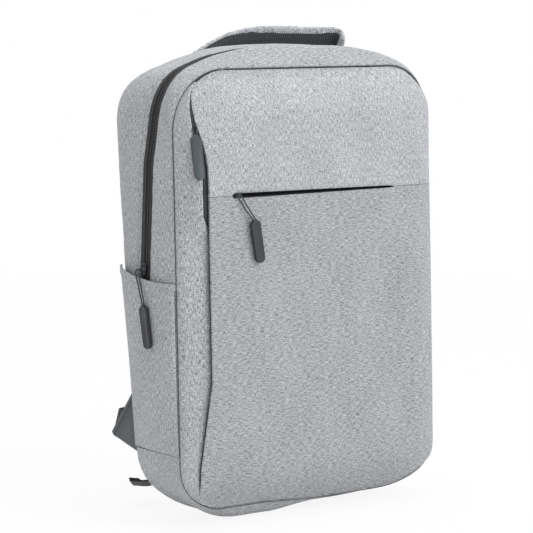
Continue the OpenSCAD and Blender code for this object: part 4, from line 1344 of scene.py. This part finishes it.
WEB_EXIT = np.array([146.8, 106.3, 88.2])
lower_path = [WEB_EXIT + d for d in ((-0.6, -7, -2), (-0.4, 0.5, 0), (-0.6, 5.5, 0.2), (-2.6, 7.9, 0.2),
                                     (-9, 8.6, 0.4), (-20, 8.5, 2), (-32, 9, 12))]
lower_path += [np.array(p) for p in ((102, lock_y - 4, LOCK_Z - 46), (90, lock_y - 1, LOCK_Z - 34),
                                     (88, lock_y - 0.4, LOCK_Z - 26))]
lower_dirs = [np.array(d) / np.linalg.norm(d) for d in
              ((0, 0.62, -0.78), (0, 0.62, -0.78), (0, 0.42, -0.9), (0, 0.34, -0.94), (0.05, 0.3, -0.95),
               (0.2, 0.3, -0.9), (0.6, 0.25, -0.7), (0.92, 0.15, -0.35), (1, 0, 0), (1, 0, 0))]
lower_web = ribbon("right_lower_webbing_band", lower_path, lower_dirs, WEB_W, WEB_T, 60, 6)


HEM_A, HEM_B = (77.0, 120.5), (115.0, 74.5)


def tab_point(a, b):
    """The sewn tab: a from its upper to its lower end along the seam, b out to its tip."""
    high, low = np.array([back_y(121) - 1.5, 121.5]), np.array([back_y(64) - 1.5, 63.0])
    seam = lerp(high, low, a)
    end = np.array(HEM_B) + (seam - lerp(high, low, 0.72)) * 0.05
    y, z = lerp(seam, end, b)
    puff = 0.8 * math.sin(math.pi * clamp(a)) * math.sin(math.pi * clamp(b * 0.9 + 0.05))
    return 148.0 + puff + wrinkle(0, y, z, 16, 0.4, 5.0), y, z


def on_hem(t):
    return tuple(lerp(a, b, t) for a, b in zip(HEM_A, HEM_B))


strap_tab = cloth("right_strap_tab_cloth", spread(0, 1, 18), spread(0, 1, 18), tab_point, 2.3)
tab_hem = ribbon("right_strap_tab_hem", [(147.2, *on_hem(t)) for t in spread(0.02, 0.97, 8)],
                 [(0, 0.77, 0.635)] * 9, 4.0, 2.9, 24, 3)

for side, s in (("right", 1), ("left", -1)):
    bends = ("bag", side + "_strap", (s * 0.046, 0.0676, 0.413), (s * 0.046, 0.0676, 0.398))
    web_bends = ("bag", side + "_strap", tuple(TO_FRAME @ Vector((s * 140, 112, 97))),
                 tuple(TO_FRAME @ Vector((s * 92, lock_y - 2, 131))))
    for piece, finish, slot, node, how, angle in (
            (right_strap, CLOTH_PADDED, "shell_cloth", "_strap_pad", bends, 80),
            (strap_mesh, MESH, "spacer_mesh", "_strap_mesh", bends, 50),
            (strap_binding, SEAM_TAPE, "webbing", "", bends, 80),
            (strap_web, WEBBING, "webbing", "_strap_webbing", None, 50),
            (lock, BUCKLE, "moulded_plastic", "_ladder_lock", None, 40),
            (tail, WEBBING, "webbing", "_webbing_tail", None, 50),
            (lower_web, WEBBING, "webbing", "_lower_webbing", web_bends, 50),
            # The strap tab and its hem take the slate cloth; their dark tone is partly painted shade, as the
            # tab lies in shade.
            (strap_tab, CLOTH_SLATE, "shell_dark", "_strap_tab", "bag", 50),
            (tab_hem, CLOTH_SLATE, "webbing", "", "bag", 50)):
        if side == "left":
            piece = mirrored(bpy.data.objects[piece.name], piece.name.replace("right", "left"))
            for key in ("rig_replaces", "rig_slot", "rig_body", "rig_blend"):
                if key in piece:
                    del piece[key]
            piece.parent = None
        ready(piece, finish, slot, side + "_strap" if how is None else "bag",
              side + node if node else (), angle, None if how in (None, "bag") else how)
        "cushion" in piece.name


# ---------------------------------------------------------------- zip sliders and their pulls
MAIN_Z = 241.0
zip_run = np.array([0, 45.5 - 52.5, STRAIGHT_TOP - ZIP_FOOT]) / math.hypot(7, STRAIGHT_TOP - ZIP_FOOT)
MAIN = move(-HALF_W + 0.8, zip_y(MAIN_Z), MAIN_Z) \
    @ turn("X", math.degrees(math.atan2(-zip_run[1], zip_run[2]))) @ turn("Z", 180)
FACE_Y = seam_y(SLIT_Z) - BULGE
POCKET = move(SLIT_LEFT + 7, FACE_Y + 5.2, SLIT_Z) @ turn("Z", -90)


def side_zip_line(z):
    return np.array([edge_x(z) - 3.6, edge_y(z) + 4.6, z])


SIDE_LOW, SIDE_HIGH = side_zip_line(SLIT_Z - 9), side_zip_line(386)
side_run = (SIDE_HIGH - SIDE_LOW) / np.linalg.norm(SIDE_HIGH - SIDE_LOW)
side_spot = lerp(SIDE_LOW, SIDE_HIGH, (376 - SLIT_Z + 9) / (386 - SLIT_Z + 9))
SIDE = move(*side_spot) @ turn("X", math.degrees(math.atan2(-side_run[1], side_run[2]))) \
    @ turn("Y", math.degrees(math.asin(side_run[0]))) @ turn("Z", -90)
BAIL_OUT = 3.8


def slider(name, place, across=False):
    """Zip slider: a shield plate with rolled flanges, its lower plate and post, and a wire bail."""
    plate = block(name, (0.3, -4, -5.5), (1.9, 4, 5.5))
    picked(plate, "FACE", lambda mid, n: n.z < -0.9, lambda: bpy.ops.transform.resize(value=(1, 0.62, 1)))
    corners_rounded(plate, 0, 1.3, 4)
    picked(plate, "FACE", lambda mid, n: n.x > 0.9, lambda: bpy.ops.mesh.inset(thickness=0.8),
           lambda: bpy.ops.transform.translate(value=(-0.35, 0, 0)))
    softened(plate, 0.22, sharper_than=35)
    under = block("under", (-4.2, -3.6, -5.2), (-3.1, 3.6, 5.2))
    corners_rounded(under, 0, 1.2, 3)
    post = block("post", (-3.4, -0.3, 2.0), (0.6, 0.3, 4.8))
    parts = [plate, under, post]
    if across:
        for part in parts:
            put(part, turn("X", 90))
    half = [(1.2, 0, -2.9), (2.6, 0, -2.9), (3.9, 0, -2.6), (5.0, 0, -1.7)]
    arch = half + [(5.55, 0, 0)] + [(x, 0, -z) for x, _, z in half[::-1]]
    parts.append(rod("bail", [tuple(p) for p in curve_through(arch, 28)], 0.62, 8, Matrix.Identity(4)))
    return put(joined(name, *parts), TO_FRAME @ place)


def pull_cord(name, place, out, aside, drop, lip):
    """The cord's loop round the bail and both its legs down into the tab."""
    half = [(0, 0, 0), (0, 1.2, 0), (0.4, 2.1, -0.4), (lip[0], 2.5, lip[1]),
            (lerp(lip[0], out, 0.5), 2.2, -drop / 2 - 1), (out, 1.5, -drop - 1), (out, 1.2, -drop - 5)]

    def shifted(x, y, z):
        return x, y + aside * clamp((-z - 3.4) / (drop - 3.4)), z
    route = [shifted(x, -y, z) for x, y, z in half[:0:-1]] + [shifted(*p) for p in half]
    line = [tuple(p) for p in curve_through(route, 70)]
    return rod(name, line, 0.65, 12, TO_FRAME @ place @ move(BAIL_OUT, 0, 0))


def pull_tab(name, place, out, aside, drop, tilt):
    """Moulded tab: a long pill that narrows to its foot, with a raised rim round a shallow recess."""
    tab = block(name, (-2, -5.25, -40), (2, 5.25, 0))
    corners_rounded(tab, 0, 4.3, 6)
    picked(tab, "FACE", lambda mid, n: abs(n.x) > 0.9, lambda: bpy.ops.mesh.inset(thickness=1.25),
           lambda: bpy.ops.transform.resize(value=(0.76, 1, 1), center_override=(0, 0, -20)))
    for vertex in tab.data.vertices:
        vertex.co.y *= 1 - 0.22 * clamp((-33 - vertex.co.z) / 7) ** 1.3
    softened(tab, 0.4, sharper_than=30)
    collar = block("collar", (-1.55, -2.6, -1.6), (1.55, 2.6, 1.3))
    softened(collar, 0.8, 3)
    hung = place @ move(BAIL_OUT + out, aside, -drop - 1.3) @ turn("X", tilt)
    return put(joined(name, tab, collar), TO_FRAME @ hung)


for zone, place, across, cord_shape, tab_shape, finish in (
        ("main", MAIN, False, (7.2, 14, 31, (5.4, -2.6)), (7.4, 14, 31, 15), TAB_DARK),
        ("pocket", POCKET, True, (7.2, 14, 22, (3.4, -1.2)), (7.2, 14, 22, 10), TAB_DARK),
        ("side", SIDE, False, (4.6, -2, 9, (2.6, -3.0)), (4.6, -2, 9, -4), TAB_SLATE)):
    ready(slider(zone + "_zip_slider", place, across), SLIDER_METAL, "zip_metal", zone + "_slider",
          zone + "_slider")
    ready(pull_cord(zone + "_double_cord", place, *cord_shape), CORD, "pull_cord", zone + "_pull",
          zone + "_pull_cord", 80)
    ready(pull_tab(zone + "_moulded_tab", place, *tab_shape), finish, "moulded_plastic", zone + "_pull",
          zone + "_pull_tab", 32)


# ---------------------------------------------------------------- pocket zip and the inside
def pocket_zip_point(c, x):
    rib = 0.55 * bell(abs(c) - 2.0, 0.7)
    return x, FACE_Y + 5.2 - rib + 0.4, SLIT_Z + c


pocket_x = spread(SLIT_LEFT - 3, SLIT_RIGHT + 3, 80)
tape_across = (0.6, 1.1, 1.6, 2.1, 2.6, 3.4, 5, 7, 9.4)
for where, way in (("upper", 1), ("lower", -1)):
    tape = cloth("pocket_zip_tape_" + where, pocket_x, sorted(way * c for c in tape_across),
                 lambda x, c: pocket_zip_point(c, x), 0.9)
    ready(tape, ZIP_TAPE, "zip_tape", stands_for="pocket_zip_" + where)


def coil_point(turns, side, at, out):
    """Corrugated coil row: at(c, t) is its line, out the direction it stands away from the tape."""
    def place(a, t):
        wave = 0.5 + 0.5 * math.cos(math.pi * turns * 2 * t)
        angle = math.pi * a
        r = 0.55 + 0.35 * wave
        return at(side * (1.35 + r * math.cos(angle)), t) + out(t) * (r * math.sin(angle))
    return place


def main_coil_at(c, t):
    q = lerp(4, 12, t)
    return ring_zip(q, c) - outward(q) * 1.75


def pocket_coil_at(c, t):
    return np.array([lerp(SLIT_LEFT - 3, SLIT_RIGHT + 3, t), FACE_Y + 6.5, SLIT_Z + c])


for side, name, turns, at, out in (
        (-1, "main_zip_coil_front", 300, main_coil_at, lambda t: -outward(lerp(4, 12, t))),
        (1, "main_zip_coil_rear", 300, main_coil_at, lambda t: -outward(lerp(4, 12, t))),
        (-1, "pocket_zip_coil_lower", 130, pocket_coil_at, lambda t: np.array([0, 1.0, 0])),
        (1, "pocket_zip_coil_upper", 130, pocket_coil_at, lambda t: np.array([0, 1.0, 0]))):
    coil = cloth(name, spread(0, 1, 4)[::side], spread(0, 1, 3 * turns),
                 coil_point(turns, side, at, out), 0, rim=0)
    ready(coil, COIL, "zip_tape", angle=60)


def lining_point(front, rear):
    def place(v, q):
        p = lerp(front(q), rear(q), lerp(0.12, 0.93, v))
        return p + outward(q) * (-4.0 + ease(min(v, 1 - v) * 5) * wrinkle(*p, 24, 0.5, 7.0))
    return place


for where, front, rear in (("front", ring_front, lambda q: ring_zip(q, FRONT_FOLD)),
                           ("rear", lambda q: ring_zip(q, 8.7), lambda q: ring_base(q, REAR_FOLD))):
    ready(cloth(where + "_gusset_lining", spread(0, 1, 8), rounds(4, 12), lining_point(front, rear), 0.6),
          LINING, "lining", stands_for=where + "_lining")

POUCH_Y = FACE_Y + 5.2 + 1.2 + 1.6 + 5.2
POUCH_LOW, POUCH_HIGH = SLIT_Z - 190, SLIT_Z + 8
pouch_line = curve_through([(FACE_Y + 6.8, POUCH_HIGH - 0.5), (POUCH_Y - 1, POUCH_HIGH - 0.5),
                            (POUCH_Y + 0.5, POUCH_HIGH - 12), (POUCH_Y + 0.3, 250), (POUCH_Y + 0.3, 180),
                            (POUCH_Y + 0.5, POUCH_LOW + 12), (POUCH_Y - 1, POUCH_LOW + 1),
                            (seam_y(POUCH_LOW) - BULGE + 3.6, POUCH_LOW + 1)], 60)


def pouch_point(u, k):
    y, z = pouch_line[round(k * 60)][:2]
    x = lerp(SLIT_LEFT + 6, SLIT_RIGHT - 6, u)
    return x, y + ease(min(k, 1 - k) * 4) * wrinkle(x, 0, z, 32, 0.5, 3.0), z


ready(cloth("front_pocket_pouch", spread(1, 0, 40), spread(0, 1, 60)[::-1], pouch_point, 0.7), LINING,
      "lining", stands_for="front_pocket_lining")

divider = board_cloth("padded_divider", 298, 19.5, 420, 57, lambda z: seam_y(z) + 9.4, 4.6, 0.3, 8, 30, 5.5)
ready(divider, LINING, "lining", stands_for="divider_panel", angle=60)
foam = board_cloth("back_foam_sheet", 266, 22.5, 415.5, 43, lambda z: back_y(z) - 2.0, 2.8, 0.0, 10, 24, 3.7)
ready(foam, FOAM, "foam", stands_for="back_foam")

SLEEVE_FRONT, SLEEVE_HALF, SLEEVE_R, WALL_TOP, WALL_LOW = 19.2, 131, 12, 299, 36


def sleeve_front(u, z):
    x = lerp(-SLEEVE_HALF, SLEEVE_HALF, u)
    soft = ease(min(u, 1 - u) * 6) * ease((z - 24) / 20)
    y = back_y(z) - SLEEVE_FRONT + soft * (wrinkle(x, 0, z, 60, 0.8, 2.6) - 0.6)
    return x, y + 0.5 * ease((z - 285) / 12), z


def sleeve_wall(a, k):
    """Edge strip of the sleeve: down one side, round both corners and up the other."""
    def corner(way, degrees):
        a = math.radians(degrees)
        across, down = (math.sin(a), math.cos(a)) if way > 0 else (math.cos(a), math.sin(a))
        return way * (SLEEVE_HALF - SLEEVE_R + SLEEVE_R * across), WALL_LOW - SLEEVE_R * down

    path = [(-SLEEVE_HALF, WALL_TOP)] + [(-SLEEVE_HALF, z) for z in spread(WALL_TOP, WALL_LOW, 10)[1:]]
    path += [corner(-1, t) for t in (20, 45, 70, 90)] + [corner(1, t) for t in (0, 20, 45, 70, 90)]
    path += [(SLEEVE_HALF, z) for z in spread(WALL_LOW, WALL_TOP, 10)[1:]]
    x, z = path[round(k * (len(path) - 1))]
    return x, lerp(back_y(z) - SLEEVE_FRONT, back_y(z) - 5.2, a), z


sleeve_rows = spread(24.5, 300, 44)
sleeve = joined("laptop_sleeve_cloth",
                cloth("laptop_sleeve_cloth", spread(0, 1, 34), sleeve_rows, sleeve_front, 1.9),
                cloth("sleeve_wall", spread(0, 1, 3), spread(0, 1, 28), sleeve_wall, 1.2))
ready(sleeve, LINING, "lining", stands_for="laptop_sleeve", angle=60)
mouth_line = [(x, back_y(300) - SLEEVE_FRONT + 0.2, 300.5) for x in (-131, -60, 0, 60, 131)]
ready(ribbon("sleeve_top_binding", mouth_line, [(0, 0.1, 1)] * 5, 9, 2.4, 60, 3), SEAM_TAPE, "webbing",
      angle=60)
strap_route = [(0, back_y(z) - 21.6, z) for z in (264, 285, 305, 322)]
strap_route += [(0, back_y(331) - 19.5, 331), (0, back_y(334) - 14, 334), (0, back_y(334) - 5.4, 333.4)]
ready(ribbon("sleeve_closing_strap", strap_route, [(1, 0, 0)] * 7, 30, 1.4, 50, 6), WEBBING, "webbing",
      stands_for="sleeve_strap", angle=60)

base = block("base_stiffener", (-70, 35, 3.6), (70, 61, 6.2))
corners_rounded(base, 2, 9, 6)
picked(base, "FACE", lambda mid, n: n.z > 0.9, lambda: bpy.ops.mesh.inset(thickness=4),
       lambda: bpy.ops.transform.translate(value=(0, 0, -0.4)))
softened(base, 0.5, sharper_than=35)
ready(put(base, TO_FRAME), BOARD, "board", stands_for="base_board")


# ---------------------------------------------------------------- stitching
def on_outline(point, v, first, last):
    return [tuple(point(v, q)) for q in rounds(first, last)]


lip_row = [upper_point(u, 9.5 / 113.5) for u in spread(0.09, 0.83, 90)]
for name, row, on in (("front_gusset", on_outline(front_gusset_point, 0.93, 4, 12), front_gusset),
                      ("rear_gusset", on_outline(rear_gusset_point, 0.07, 4, 12), rear_gusset),
                      ("upper_lip", lip_row, upper_cloth)):
    stitched("stitches_" + name, [row], on, THREAD, "shell_cloth")
for side, s, hem in (("right", 1, hems[0]), ("left", -1, hems[1])):
    row = [(s * (x + 3), y, z) for x, y, z in (pocket_binding_point(v, 0.08) for v in spread(0.02, 0.97, 60))]
    stitched("stitches_%s_pocket" % side, [row], hem, THREAD, "shell_cloth")
    tab = bpy.data.objects[side + "_strap_tab_cloth"]
    rows = [[(s * 151, y - back, z - back * 0.62) for y, z in (on_hem(0.06), on_hem(0.92))]
            for back in (4.5, 7.5)]
    stitched("stitches_%s_tab" % side, rows, tab, THREAD_DARK, "webbing", pitch=3.0)
    web = bpy.data.objects[side + "_strap_webbing_band"]
    top, foot = WEB_BOX
    box = [(top, -0.78), (top, 0.78), (foot, 0.78), (foot, -0.78), (top, -0.78), (foot, 0.78)]
    cross = [(top, 0.78), (foot, -0.78)]
    rows = []
    for shape in (box, cross):
        row = []
        for (t0, a0), (t1, a1) in zip(shape, shape[1:]):
            row += [strap_point(lerp(t0, t1, k), lerp(a0, a1, k), 13.2, WEB_W) for k in spread(0, 1, 8)]
        rows.append([(s * p[0], p[1], p[2]) for p in row])
    stitched("stitches_%s_webbing_box" % side, rows, web, THREAD_DARK, "webbing", side + "_strap", pitch=2.8)
    pad = bpy.data.objects[side + "_strap_cushion"]
    rows = [[strap_point(t, a, 9, strap_width(t) - 2) * (s, 1, 1) for t in spread(0.08, 0.95, 60)]
            for a in (-0.86, 0.86)]
    stitched("stitches_%s_strap" % side, rows, pad, THREAD, "shell_cloth", side + "_strap", pitch=4.0)
yoke_corners = ((-84, 414.5), (84, 414.5), (84, 431), (-84, 431), (-84, 414.5))
yoke_row = [(x, back_y(z) + 4, z) for x, z in yoke_corners]
yoke_route = [tuple(lerp(np.array(a), np.array(b), t)) for a, b in zip(yoke_row, yoke_row[1:])
              for t in spread(0, 1, 20)]
stitched("stitches_yoke", [yoke_route], yoke, THREAD_DARK, "shell_dark")
